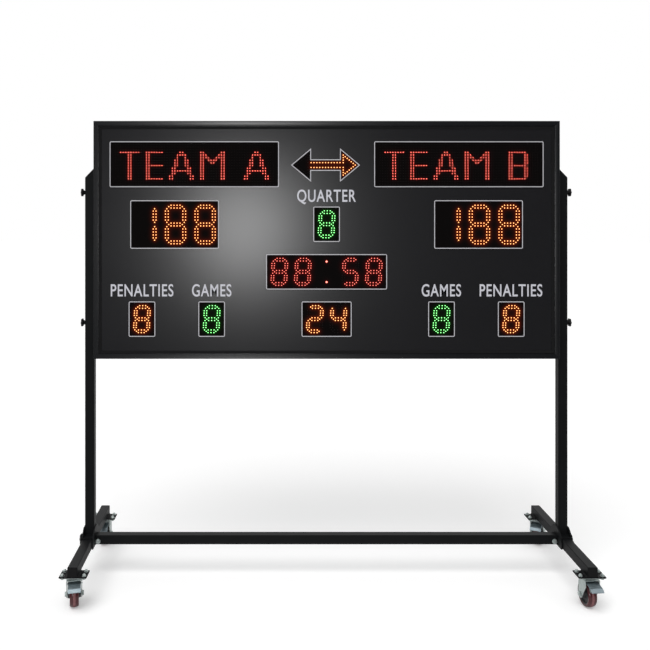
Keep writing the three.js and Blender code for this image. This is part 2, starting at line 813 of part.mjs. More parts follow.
// Saddle bracket: two cheeks, the web between them, the spigot inside the post and the stub in the crossbar.
function saddle(group, side, word) {
  const web = block(cheekGap + saddleWall, saddleShoulder, saddleWall, 0, 0, webBottom + saddleWall / 2);
  const spigotZ = webBottom + saddleWall + spigotHeight / 2;
  const spigot = block(spigotSize, spigotSize, spigotHeight + saddleWall, 0, 0, spigotZ - saddleWall / 2);
  const spigotBore = block(
    spigotSize - 2 * stubWall, spigotSize - 2 * stubWall, spigotHeight + saddleWall,
    0, 0, spigotZ + saddleWall / 2,
  );
  const stubX = -cheekOuter - stubLength / 2;
  const stub = block(stubLength + saddleWall, spigotSize, spigotSize, stubX + saddleWall / 2, 0, footMiddle);
  const stubBore = block(
    stubLength + saddleWall, spigotSize - 2 * stubWall, spigotSize - 2 * stubWall,
    stubX - saddleWall / 2, 0, footMiddle,
  );
  let body = spigot.subtract(spigotBore).add(web);
  body = body.add(sideways(cheekShape(), cheekGap / 2, saddleWall));
  body = body.add(sideways(cheekShape(), -cheekOuter, saddleWall));
  body = body.add(stub.subtract(stubBore));
  const boltX = cheekOuter + saddleBoltHead / 2 - fit;
  for (const end of [-1, 1]) {
    const y = end * saddleBoltPlace;
    body = body.add(rod('x', saddleBoltRadius, saddleBoltHead, boltX, y, footMiddle, hexSides));
  }
  const studHole = rod('x', studRadius + fit, 2 * cheekOuter + overrun, 0, 0, footMiddle);
  const boltHole = rod(
    'y', crossBoltRadius + fit, tubeSize,
    -cheekOuter - fit - crossBoltInset, 0, footMiddle - crossBoltDrop,
  );
  body = facing(body.subtract(studHole).subtract(boltHole), side);
  group.add(piece(`saddle_${word}`, body.translate([side * postX, 0, 0]), powderBlack()));
}

// Crossbar tube, open ended, with a bolt hole at each end.
function crossbar(group) {
  const whole = grow(tubeShape(), 2 * crossbarHalf).applyMatrix4(alongX);
  let tube = solid(whole.translate(-crossbarHalf, 0, footMiddle));
  for (const side of [-1, 1]) {
    const x = side * (crossbarHalf - crossBoltInset);
    const z = footMiddle - crossBoltDrop;
    tube = tube.subtract(rod('y', crossBoltRadius + fit, tubeSize + overrun, x, 0, z));
    const length = tubeSize + 2 * (fit + crossWasherThick + crossBoltHeadThick);
    let bolt = rod('y', crossBoltRadius, length, x, 0, z);
    for (const end of [-1, 1]) {
      const washerY = end * (tubeSize / 2 + fit + crossWasherThick / 2);
      const headY = washerY + end * (crossWasherThick + crossBoltHeadThick) / 2;
      bolt = bolt.add(rod('y', crossWasherRadius, crossWasherThick, x, washerY, z, roundSides));
      bolt = bolt.add(rod('y', crossBoltHead, crossBoltHeadThick, x, headY, z, hexSides));
    }
    group.add(piece(`crossbar_bolt_${side < 0 ? 'left' : 'right'}`, bolt, zinc()));
  }
  group.add(piece('crossbar', tube, powderBlack()));
}

// Clamp knobs of one side: two hold the board between the posts and one holds the foot in its saddle.
function knobs(group, side, word) {
  const boardStud = fit + tubeSize + 2 * fit + studReach;
  const outer = postX + tubeSize / 2 + fit;
  const boardKnob = facing(clampKnob(boardStud), side);
  const low = boardBottom + boardKnobRise;
  const high = boardTop - boardKnobDrop;
  group.add(piece(`board_knob_${word}_lower`, boardKnob.translate([side * outer, 0, low]), knobBlack()));
  group.add(piece(`board_knob_${word}_upper`, boardKnob.translate([side * outer, 0, high]), knobBlack()));
  const footKnob = facing(clampKnob(2 * cheekOuter + 2 * fit), side);
  const seat = postX + cheekOuter + fit;
  group.add(piece(`foot_knob_${word}`, footKnob.translate([side * seat, 0, footMiddle]), knobBlack()));
}

// Caster top plate with race, king pin, bolts and nuts. Its king pin stands on the local Z axis.
function casterPlate() {
  let body = block(
    casterPlateWidth, casterPlateDepth, casterPlateThick,
    0, 0, casterPlateBottom + casterPlateThick / 2,
  );
  const raceLow = casterPlateBottom - raceHeight;
  const raceLength = raceHeight + casterPlateThick / 2;
  body = body.add(rod('z', raceRadius, raceLength, 0, 0, raceLow + raceLength / 2, roundSides));
  const pinLow = forkCrownBottom - runningGap - kingpinHeadThick;
  const pinLength = casterPlateBottom - pinLow;
  body = body.add(rod('z', kingpinRadius, pinLength, 0, 0, pinLow + pinLength / 2, roundSides));
  const pinHeadMiddle = pinLow + kingpinHeadThick / 2;
  body = body.add(rod('z', kingpinHeadRadius, kingpinHeadThick, 0, 0, pinHeadMiddle, roundSides));
  const nutBottom = footBottom + fit;
  const shank = nutBottom + casterNutThick + casterBoltTip - casterPlateBottom;
  const nutMiddle = nutBottom + casterNutThick / 2;
  const headThick = casterBoltHeadThick + fit;
  const headMiddle = casterPlateBottom + fit - headThick / 2;
  for (const side of [-1, 1]) {
    for (const end of [-1, 1]) {
      const x = side * casterBoltX;
      const y = end * casterBoltY;
      body = body.add(rod('z', casterBoltRadius, shank, x, y, casterPlateBottom + shank / 2, shankSides));
      body = body.add(rod('z', casterHexRadius, casterNutThick, x, y, nutMiddle, hexSides));
      body = body.add(rod('z', casterHexRadius, headThick, x, y, headMiddle, hexSides));
    }
  }
  return body;
}

// Outline of a fork leg: from the crown back and down to a round end about the axle, with its two holes.
function forkLegShape() {
  const shape = new THREE.Shape();
  const frontKnee = forkTop - forkReach;
  const start = THREE.MathUtils.degToRad(forkLegTurn);
  shape.moveTo(-forkReach, forkTop);
  shape.lineTo(-forkReach, frontKnee);
  shape.absarc(trail, wheelRadius, forkLegFoot, Math.PI + start, Math.PI * 2 + start, false);
  shape.lineTo(forkReach + forkWall, frontKnee);
  shape.lineTo(forkReach, forkTop);
  const axleHole = new THREE.Path();
  axleHole.absarc(trail, wheelRadius, axleRadius + runningGap, 0, Math.PI * 2);
  const pinHole = new THREE.Path();
  const pivotZ = casterHeight - pedalPivotDrop;
  pinHole.absarc(-pedalPivotForward, pivotZ, pedalPinRadius + runningGap, 0, Math.PI * 2);
  shape.holes.push(axleHole, pinHole);
  return shape;
}

// Swivel fork: a crown with the king pin hole and two legs.
function casterFork() {
  const crownMiddle = forkTop - forkWall / 2;
  const crown = block(forkInner + forkWall, 2 * forkReach, forkWall, 0, 0, crownMiddle);
  const leg = new THREE.ExtrudeGeometry(forkLegShape(), {
    depth: forkWall,
    bevelEnabled: false,
    curveSegments: legSteps,
  }).applyMatrix4(alongX);
  const right = solid(leg.clone().translate(forkInner / 2, 0, 0));
  const left = solid(leg.clone().translate(-forkInner / 2 - forkWall, 0, 0));
  const hole = rod('z', kingpinRadius + runningGap, forkWall + overrun, 0, 0, crownMiddle, roundSides);
  return crown.add(right).add(left).subtract(hole);
}

// Wheel with a crowned tread, a thinner web and a hub, a flat of its rim on the floor.
function casterWheel() {
  const rimFactor = 1 / Math.cos(Math.PI / wheelSides);
  const bore = axleRadius + runningGap;
  const half = wheelWidth / 2;
  const side = [
    [bore, hubWidth / 2], [hubRadius, hubWidth / 2], [webRim, webWidth / 2],
    [webRim + wheelCrown, half], [wheelRadius - wheelCrown, half], [wheelRadius, half - wheelShoulder],
  ];
  const mirrored = side.map(([r, x]) => [r, -x]).reverse();
  const loop = [...side, ...mirrored, side[0]].map(([r, x]) => new THREE.Vector2(r * rimFactor, -x));
  const geometry = new THREE.LatheGeometry(loop, wheelSides);
  geometry.rotateZ(Math.PI / 2).rotateX(Math.PI / wheelSides);
  return solid(geometry.translate(0, trail, wheelRadius));
}

// Axle bolt with head and nut outside the fork.
function casterAxle() {
  const outer = forkInner / 2 + forkWall + fit;
  let body = rod('x', axleRadius, 2 * outer + axleHexThick, 0, trail, wheelRadius, roundSides);
  for (const side of [-1, 1]) {
    const x = side * (outer + axleHexThick / 2);
    body = body.add(rod('x', axleHexRadius, axleHexThick, x, trail, wheelRadius, hexSides));
  }
  return body;
}

// A strip of even thickness on the left of an open path, with sharp bends.
function strip(points, thick) {
  const far = points.map((point, i) => {
    const before = points[Math.max(i - 1, 0)];
    const after = points[Math.min(i + 1, points.length - 1)];
    const first = new THREE.Vector2(point[0] - before[0], point[1] - before[1]).normalize();
    const second = new THREE.Vector2(after[0] - point[0], after[1] - point[1]).normalize();
    const along = first.clone().add(second).normalize();
    const level = first.lengthSq() > 0 ? first : second;
    const stretch = thick / along.dot(level);
    return [point[0] - along.y * stretch, point[1] + along.x * stretch];
  });
  return outline([...points, ...far.reverse()]);
}

// Brake pedal: a bent plate on its pivot pin, with the shoe that meets the tread when it is pressed.
function casterPedal() {
  const pivotY = -pedalPivotForward;
  const pivotZ = casterHeight - pedalPivotDrop;
  const underside = pivotZ + pedalPinRadius;
  const path = pedalShares.map(([reach, drop]) => [-reach * pedalReach, underside - drop * pedalFall]);
  const plate = sideways(strip(path.reverse(), pedalThick), -pedalWidth / 2, pedalWidth);
  const pinLength = forkInner + 2 * (forkWall + fit + pedalPinEnd);
  const pin = rod('x', pedalPinRadius, pinLength, 0, pivotY, pivotZ, boltSides);
  const near = wheelRadius + pedalShoeGap;
  const far = near + pedalShoeThick;
  const spot = (radius, turn) => [trail + radius * Math.cos(turn), wheelRadius + radius * Math.sin(turn)];
  const first = THREE.MathUtils.degToRad(pedalShoeLow);
  const last = THREE.MathUtils.degToRad(pedalShoeHigh);
  const shoeTop = underside + pedalThick / 2;
  const shoe = sideways(outline([
    spot(near, last), spot(near, first), spot(far, first),
    [pivotY - pedalPinRadius, shoeTop], [pivotY + pedalPinRadius, shoeTop],
  ]), -pedalShoeWidth / 2, pedalShoeWidth);
  return plate.add(pin).add(shoe);
}

// The four casters, each turned to its own heading about its king pin.
function casters(group) {
  const spots = [
    ['front_left', -1, -1, frontLeftHeading], ['front_right', 1, -1, frontRightHeading],
    ['rear_right', 1, 1, rearRightHeading], ['rear_left', -1, 1, rearLeftHeading],
  ];
  for (const [word, side, end, heading] of spots) {
    const stand = new THREE.Group();
    stand.position.set(side * postX, end * casterY, 0);
    stand.add(piece(`caster_plate_${word}`, casterPlate(), zinc()));
    const swivel = new THREE.Group();
    swivel.rotation.z = THREE.MathUtils.degToRad(heading);
    swivel.add(piece(`caster_fork_${word}`, casterFork(), zinc()));
    swivel.add(piece(`caster_wheel_${word}`, casterWheel(), wheelMaroon()));
    swivel.add(piece(`caster_axle_${word}`, casterAxle(), zinc()));
    swivel.add(piece(`caster_pedal_${word}`, casterPedal(), zinc()));
    stand.add(swivel);
    group.add(stand);
  }
}

// The whole object.
function scoreboard() {
  const group = new THREE.Group();
  frameRails(group);
  frontPanel(group);
  rearCover(group);
  lampBoards(group);
  electronics(group);
  for (const [side, word] of [[-1, 'left'], [1, 'right']]) {
    post(group, side, word);
    foot(group, side, word);
    saddle(group, side, word);
    knobs(group, side, word);
  }
  crossbar(group);
  casters(group);
  return group;
}

export default scoreboard();
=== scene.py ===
"""Electronic scoreboard hung between the posts of a wheeled stand, dressed around its packed frame."""

import logging
import math
from dataclasses import dataclass, field
from enum import Enum

import bpy
from mathutils import Matrix, Vector
from mathutils.geometry import tessellate_polygon


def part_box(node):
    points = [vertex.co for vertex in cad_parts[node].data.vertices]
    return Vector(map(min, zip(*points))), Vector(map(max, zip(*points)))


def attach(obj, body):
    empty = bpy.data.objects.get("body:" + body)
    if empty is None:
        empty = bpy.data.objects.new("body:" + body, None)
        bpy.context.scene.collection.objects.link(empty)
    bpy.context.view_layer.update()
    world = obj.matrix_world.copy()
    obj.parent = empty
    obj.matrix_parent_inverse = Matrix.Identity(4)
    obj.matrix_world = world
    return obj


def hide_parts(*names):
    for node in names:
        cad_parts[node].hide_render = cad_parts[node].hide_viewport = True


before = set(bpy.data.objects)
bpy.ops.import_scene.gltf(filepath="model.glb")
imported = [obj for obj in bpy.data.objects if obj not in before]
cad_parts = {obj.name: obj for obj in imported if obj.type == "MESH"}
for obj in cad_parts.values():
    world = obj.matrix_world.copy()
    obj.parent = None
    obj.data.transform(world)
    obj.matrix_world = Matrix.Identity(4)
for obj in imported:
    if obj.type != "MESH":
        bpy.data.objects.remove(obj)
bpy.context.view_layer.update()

LOG = logging.getLogger("scoreboard")
MM = 0.001
BOARD_BODY = "stand_and_board"
SIDES = ((-1, "left"), (1, "right"))

Point = tuple[float, float]
Loop = list[Point]
Face = tuple[int, ...]


# Flat outlines


def arc(centre: Point, radius: float, start: float, end: float, steps: int) -> Loop:
    """Points along an arc, both ends included, with its angles in degrees from the first axis."""
    turns = [math.radians(start + (end - start) * i / steps) for i in range(steps + 1)]
    return [(centre[0] + radius * math.cos(t), centre[1] + radius * math.sin(t)) for t in turns]


def circle(radius: float, sides: int, centre: Point = (0.0, 0.0)) -> Loop:
    """A circle, or a regular polygon, anticlockwise from the first axis."""
    return arc(centre, radius, 0, 360, sides)[:-1]


def round_rect(
    width: float, height: float, radius: float, centre: Point = (0.0, 0.0), steps: int = 5,
) -> Loop:
    """A rectangle with round corners, anticlockwise.

    Args:
        width: Size along the first axis.
        height: Size along the second axis.
        radius: Corner radius.
        centre: The centre.
        steps: Chords in each corner.

    Returns:
        The closed outline.
    """
    half_w, half_h = width / 2 - radius, height / 2 - radius
    corners = ((half_w, -half_h, -90), (half_w, half_h, 0), (-half_w, half_h, 90), (-half_w, -half_h, 180))
    return [
        point
        for x, y, turn in corners
        for point in arc((centre[0] + x, centre[1] + y), radius, turn, turn + 90, steps)
    ]


def square(size: float, radius: float, steps: int = 5) -> Loop:
    """A square with round corners about the origin, anticlockwise."""
    return round_rect(size, size, radius, steps=steps)


def rectangle(low_x: float, low_y: float, high_x: float, high_y: float) -> Loop:
    """A plain rectangle between two corners, anticlockwise."""
    return [(low_x, low_y), (high_x, low_y), (high_x, high_y), (low_x, high_y)]


def both_sides(right: Loop) -> Loop:
    """An outline made of its right half and the same half mirrored to the left."""
    return right + [(-u, v) for u, v in reversed(right)]


def both_ends(lower: Loop, *between: Point) -> Loop:
    """An outline made of its lower half, what lies between, and the same half mirrored upwards."""
    return [*lower, *between, *[(u, -v) for u, v in reversed(lower)]]


def mirrored(side: int, first: float, last: float) -> tuple[float, float]:
    """The lower and upper end of a stretch that is given for the right side, on either side."""
    low, high = sorted((side * first, side * last))
    return low, high


def area(loop: Loop) -> float:
    """The signed area of an outline, positive when it runs anticlockwise."""
    pairs = zip(loop, loop[1:] + loop[:1])
    return sum(a[0] * b[1] - b[0] * a[1] for a, b in pairs) / 2


def inset(loop: Loop, distance: float) -> Loop:
    """Moves every side of an outline to its left by one distance.

    Args:
        loop: The closed outline.
        distance: How far each side moves.

    Returns:
        The moved outline, with as many points.
    """
    sharpest = 0.3
    moved = []
    for i, point in enumerate(loop):
        before, after = Vector(loop[i - 1]), Vector(loop[(i + 1) % len(loop)])
        here = Vector(point)
        first, second = (here - before).normalized(), (after - here).normalized()
        normal = Vector((-first.y - second.y, first.x + second.x)).normalized()
        reach = distance / max(normal.dot(Vector((-first.y, first.x))), sharpest)
        moved.append((here.x + normal.x * reach, here.y + normal.y * reach))
    return moved


def softened(loop: Loop, radius: float, steps: int = 4) -> Loop:
    """Rounds the sharp corners of an outline.

    Args:
        loop: The closed outline.
        radius: How far from the corner the round starts, if its sides are long enough.
        steps: Chords in each corner.

    Returns:
        The rounded outline.
    """
    flattest, side_share = math.radians(20), 0.45
    made: Loop = []
    for i, point in enumerate(loop):
        here, before, after = Vector(point), Vector(loop[i - 1]), Vector(loop[(i + 1) % len(loop)])
        back, ahead = before - here, after - here
        if back.angle(-ahead) < flattest:
            made.append(point)
            continue
        start = here + back.normalized() * min(radius, back.length * side_share)
        end = here + ahead.normalized() * min(radius, ahead.length * side_share)
        for step in range(steps + 1):
            t = step / steps
            spot = start * (1 - t) ** 2 + here * (2 * t * (1 - t)) + end * t**2
            made.append((spot.x, spot.y))
    return made


def inside(loop: Loop, x: float, y: float) -> bool:
    """Tells whether a point lies inside an outline.

    Args:
        loop: The closed outline.
        x: The point's place along the first axis.
        y: Its place along the second axis.

    Returns:
        True where it does.
    """
    hit = False
    for a, b in zip(loop, loop[1:] + loop[:1]):
        if (a[1] > y) != (b[1] > y) and x < (b[0] - a[0]) * (y - a[1]) / (b[1] - a[1]) + a[0]:
            hit = not hit
    return hit


class Lie(Enum):
    """How a flat outline (u, v) and its thickness w lie in the frame of the object."""

    FLAT = ((1, 0, 0), (0, 1, 0), (0, 0, 1))
    FRONT = ((1, 0, 0), (0, 0, -1), (0, 1, 0))
    BACK = ((-1, 0, 0), (0, 0, 1), (0, 1, 0))
    SIDE = ((0, 0, 1), (1, 0, 0), (0, 1, 0))


def at(x: float = 0.0, y: float = 0.0, z: float = 0.0, lie: Lie = Lie.FLAT) -> Matrix:
    """The place of a flat outline: moved to a point, and laid flat or facing one way."""
    return Matrix.Translation((x, y, z)) @ Matrix(lie.value).to_4x4()


def outward(side: int, x: float = 0.0, y: float = 0.0, z: float = 0.0) -> Matrix:
    """The place of a shape made for the right side, turned round for the left one."""
    return Matrix.Translation((x, y, z)) @ Matrix.Rotation(0 if side > 0 else math.pi, 4, "Z")


# Finishes


def linear(colour: str) -> tuple[float, float, float, float]:
    """Turns an sRGB hex colour into a linear one.

    Args:
        colour: Six hex digits after a hash sign.

    Returns:
        Linear red, green and blue, and full alpha.
    """
    parts = [int(colour[i:i + 2], 16) / 255 for i in (1, 3, 5)]
    red, green, blue = [p / 12.92 if p <= 0.04045 else ((p + 0.055) / 1.055) ** 2.4 for p in parts]
    return red, green, blue, 1.0


def add_node(
    tree: bpy.types.NodeTree, kind: str, links: dict | None = None, **settings: object,
) -> bpy.types.Node:
    """Adds one node with its settings and links.

    Args:
        tree: The node tree.
        kind: The node's type.
        links: Which output feeds each named or numbered input.
        settings: Properties of the node, or values of inputs named with _ for a space.

    Returns:
        The node.
    """
    node = tree.nodes.new(kind)
    for name, value in settings.items():
        if hasattr(node, name):
            setattr(node, name, value)
        else:
            node.inputs[name.replace("_", " ")].default_value = value
    for name, source in (links or {}).items():
        tree.links.new(source, node.inputs[name])
    return node


@dataclass(frozen=True)
class Finish:
    """A real material and how its surface was made, with sizes in metres."""

    name: str
    colour: str
    roughness: float
    second: str
    drift_size: float = 80 * MM
    grain_size: float = 1.5 * MM
    grain_depth: float = 0.0
    stretch: tuple[float, float, float] = (1.0, 1.0, 1.0)
    rough_spread: float = 0.06
    metallic: float = 0.0
    ior: float = 1.5
    gloss: float = 0.5

    def material(self) -> bpy.types.Material:
        """The finish as a material, made when it is first asked for.

        Returns:
            The material.
        """
        found = bpy.data.materials.get(self.name)
        if found is None:
            found = bpy.data.materials.new(self.name)
            found.use_nodes = True
            found.node_tree.nodes.clear()
            self.nodes(found.node_tree)
        return found

    def nodes(self, tree: bpy.types.NodeTree) -> bpy.types.Node:
        """Builds the nodes that every finish has: drifting colour, grain and uneven gloss.

        Args:
            tree: The material's empty node tree.

        Returns:
            The surface shader.
        """
        place = add_node(tree, "ShaderNodeTexCoord").outputs["Object"]
        drift = add_node(tree, "ShaderNodeTexNoise", {"Vector": place}, Scale=1 / self.drift_size, Detail=3.0)
        tint = add_node(
            tree, "ShaderNodeMix", {"Factor": drift.outputs["Fac"]}, data_type="RGBA", clamp_factor=True,
        )
        tint.inputs["A"].default_value = linear(self.colour)
        tint.inputs["B"].default_value = linear(self.second)
        along = add_node(tree, "ShaderNodeMapping", {"Vector": place}, Scale=self.stretch).outputs["Vector"]
        grain = add_node(tree, "ShaderNodeTexNoise", {"Vector": along}, Scale=1 / self.grain_size, Detail=2.0)
        rough = add_node(
            tree, "ShaderNodeMapRange", {"Value": grain.outputs["Fac"]},
            To_Min=self.roughness - self.rough_spread, To_Max=self.roughness + self.rough_spread,
        )
        shader = add_node(
            tree, "ShaderNodeBsdfPrincipled",
            {"Base Color": tint.outputs["Result"], "Roughness": rough.outputs["Result"]},
            Metallic=self.metallic, IOR=self.ior, Specular_IOR_Level=self.gloss,
        )
        if self.grain_depth:
            bump = add_node(
                tree, "ShaderNodeBump", {"Height": grain.outputs["Fac"]},
                Distance=self.grain_depth, Strength=1.0,
            )
            tree.links.new(bump.outputs["Normal"], shader.inputs["Normal"])
        add_node(tree, "ShaderNodeOutputMaterial", {"Surface": shader.outputs["BSDF"]})
        return shader


@dataclass(frozen=True)
class GlowingFinish(Finish):
    """A finish that shines by the mark on its mesh: lamp domes, and a painted glow for the light spilled
    beside them.
    """

    core: str = "#ffffff"
    rim: str = "#ff0000"
    core_strength: float = 1.0
    rim_strength: float = 1.0

    def nodes(self, tree: bpy.types.NodeTree) -> bpy.types.Node:
        """Adds the light to the plain finish: the rim's where the mark is 0, the core's where it is 1.

        Args:
            tree: The material's empty node tree.

        Returns:
            The surface shader.
        """
        shader = super().nodes(tree)
        mark = add_node(tree, "ShaderNodeAttribute", attribute_name="glow").outputs["Fac"]
        light = add_node(tree, "ShaderNodeMix", {"Factor": mark}, data_type="RGBA", clamp_factor=True)
        light.inputs["A"].default_value = linear(self.rim)
        light.inputs["B"].default_value = linear(self.core)
        power = add_node(
            tree, "ShaderNodeMapRange", {"Value": mark}, clamp=False,
            To_Min=self.rim_strength, To_Max=self.core_strength,
        )
        tree.links.new(light.outputs["Result"], shader.inputs["Emission Color"])
        tree.links.new(power.outputs["Result"], shader.inputs["Emission Strength"])
        return shader


# Grain that is really finer than a millimetre is drawn at 1.2 to 3 mm, because finer grain wouldn't show.

# Black anodised aluminium, extruded: a dull black with faint draw lines along the rail.
ANODISED_ACROSS = Finish(
    "anodised_aluminium_across", "#131416", 0.25, "#17181a", grain_size=1.2 * MM, grain_depth=0.02 * MM,
    stretch=(0.02, 1.0, 1.0), rough_spread=0.02, ior=1.35,
)
ANODISED_UPRIGHT = Finish(
    "anodised_aluminium_upright", "#131416", 0.27, "#17181a", grain_size=1.2 * MM, grain_depth=0.02 * MM,
    stretch=(1.0, 1.0, 0.02), rough_spread=0.02, ior=1.38,
)
# Rubber gasket pressed between rail and panel: a dead matt black that reads as a dark line round the panel.
GASKET = Finish("epdm_rubber_gasket", "#101011", 0.75, "#151516", grain_depth=0.02 * MM, gloss=0.12)
# Polycarbonate sheet with a satin black back print: even, deep black under a sheen that spreads lamps wide.
# Its satin grain is drawn at 3 mm, coarser than the real 0.3 mm, so that it shows.
PANEL_SHEET = Finish(
    "polycarbonate_sheet_satin", "#19191b", 0.24, "#1c1c1e", drift_size=240 * MM, grain_size=3 * MM,
    grain_depth=0.003 * MM, rough_spread=0.012, ior=1.38,
)
# Powder coat on steel, baked: black with an orange peel that breaks up the highlight.
POWDER_COAT = Finish(
    "powder_coated_steel", "#101112", 0.42, "#151617", grain_size=2.2 * MM, grain_depth=0.05 * MM, ior=1.4,
    gloss=0.09,
)
# Galvanised cover sheet, painted grey black: flat, a little wavy, so that its sheen drifts.
COVER_SHEET = Finish(
    "painted_sheet_steel", "#1a1c1e", 0.5, "#212325", drift_size=300 * MM, grain_size=2.5 * MM,
    grain_depth=0.04 * MM, ior=1.42,
)
# Zinc plate on pressed steel, clear chromated: grey metal with a green cast, uneven and softly bright.
ZINC_PLATE = Finish(
    "zinc_plated_steel", "#cfd7d5", 0.47, "#a3adab", drift_size=14 * MM, grain_size=2.5 * MM,
    grain_depth=0.02 * MM, rough_spread=0.1, metallic=1.0,
)
# A darker, cooler copy of the same plate for the pedals: painted shade, so that the pedals don't glare.
SHADED_ZINC_PLATE = Finish(
    "zinc_plated_steel_painted_shade", "#a3b0b6", 0.5, "#87949a", drift_size=14 * MM, grain_size=2.5 * MM,
    grain_depth=0.03 * MM, rough_spread=0.1, metallic=1.0,
)
# Phenolic resin, moulded: dense black with a dull shine on its lobes.
PHENOLIC = Finish(
    "phenolic_resin_moulded", "#0b0b0b", 0.42, "#101011", grain_size=1.2 * MM, grain_depth=0.015 * MM,
    gloss=0.3,
)
# Nylon, moulded with a fine spark texture: flat grey black that hardly shines.
NYLON = Finish(
    "nylon_moulded", "#0c0c0d", 0.55, "#111112", grain_size=1.2 * MM, grain_depth=0.03 * MM, gloss=0.15,
)
# Polyurethane tyre, cast: dark maroon rubber with a waxy sheen.
POLYURETHANE = Finish(
    "polyurethane_cast", "#3c0c12", 0.3, "#471016", drift_size=20 * MM, grain_size=1.6 * MM,
    grain_depth=0.02 * MM,
)
# The same tyre down the middle of its tread: pale and dusty where it runs on the floor, and paler still as a
# painted highlight along its crown, with no sheen left.
WORN_HIGHLIGHT_POLYURETHANE = Finish(
    "polyurethane_worn_painted_highlight", "#8a6263", 0.7, "#643a3d", drift_size=9 * MM, grain_size=1.6 * MM,
    grain_depth=0.04 * MM, gloss=0.3,
)
# Polypropylene wheel core, moulded: dull charcoal, so that the tyre stands out around it.
POLYPROPYLENE = Finish(
    "polypropylene_moulded", "#222324", 0.5, "#2b2c2d", drift_size=20 * MM, grain_size=1.6 * MM,
    grain_depth=0.02 * MM,
)
# Screen printed caption ink: opaque light grey, a touch cool, with a dry surface.
CAPTION_INK = Finish(
    "screen_printed_caption_ink", "#bdbdc4", 0.55, "#b6b6be", drift_size=30 * MM, grain_size=1.2 * MM,
)
# Screen printed outline ink: the same dry surface in a neutral light grey.
OUTLINE_INK = Finish(
    "screen_printed_outline_ink", "#b4b3b8", 0.55, "#acabb0", drift_size=30 * MM, grain_size=1.2 * MM,
)
# Polycarbonate lamp mask, moulded matt so that light dies on it: the blackest face of the object.
LAMP_MASK = Finish(
    "polycarbonate_lamp_mask", "#080606", 0.8, "#0a0808", grain_depth=0.03 * MM, ior=1.4, gloss=0.04,
)
# Clear epoxy over an unlit chip: small dark beads that catch a point of light.
UNLIT_EPOXY = Finish(
    "epoxy_lamp_unlit", "#100b0b", 0.35, "#140d0d", drift_size=5 * MM, grain_size=3 * MM, ior=1.53, gloss=0.1,
)
# Glass fibre board with green solder resist, screened and baked: an even green with a soft shine.
SOLDER_RESIST = Finish(
    "solder_resist_laminate", "#1c5a34", 0.35, "#174a2b", drift_size=25 * MM, grain_size=2 * MM,
)
# Zinc coated case sheet, hot dipped: bright grey with a fine spangle.
CASE_SHEET = Finish(
    "galvanised_case_sheet", "#a9afb2", 0.38, "#8f979b", drift_size=9 * MM, grain_size=3 * MM, metallic=1.0,
)
# Nickel plated brass of the inlet's blades: a smooth, warm bright metal.
NICKEL = Finish("nickel_plated_brass", "#c8c2b4", 0.25, "#bdb6a6", drift_size=4 * MM, metallic=1.0)


class LampColour(Enum):
    """A bead's colour in its middle and at its rim, the colour of its painted glow on the mask, and both
    strengths of the bead.
    """

    RED = ("#ff8c7c", "#c8281c", "#420000", 2.75, 1.4)
    WIDE_RED = ("#ff7868", "#d01c12", "#280000", 11.5, 2.2)
    AMBER = ("#ffc680", "#dc6c20", "#601800", 4.7, 1.7)
    GREEN = ("#a6ffac", "#08c818", "#003000", 4.7, 1.6)

    def bead(self) -> GlowingFinish:
        """Epoxy bead, cast clear: a hot middle that falls off to the lamp's own colour at its rim.

        Returns:
            The bead's finish.
        """
        core, rim, _, core_strength, rim_strength = self.value
        return GlowingFinish(
            f"epoxy_lamp_{self.name.lower()}", "#201414", 0.3, "#201414", ior=1.53, gloss=0.2,
            core=core, rim=rim, core_strength=core_strength, rim_strength=rim_strength,
        )

    def mask(self) -> GlowingFinish:
        """The matt lamp mask, with the lamps' spilled light painted over it as a glow.

        Returns:
            The mask's finish.
        """
        spill = self.value[2]
        look = dict(vars(LAMP_MASK), name=f"polycarbonate_lamp_mask_{self.name.lower()}")
        return GlowingFinish(**look, core=spill, rim=spill, rim_strength=0.0)


# Mesh code


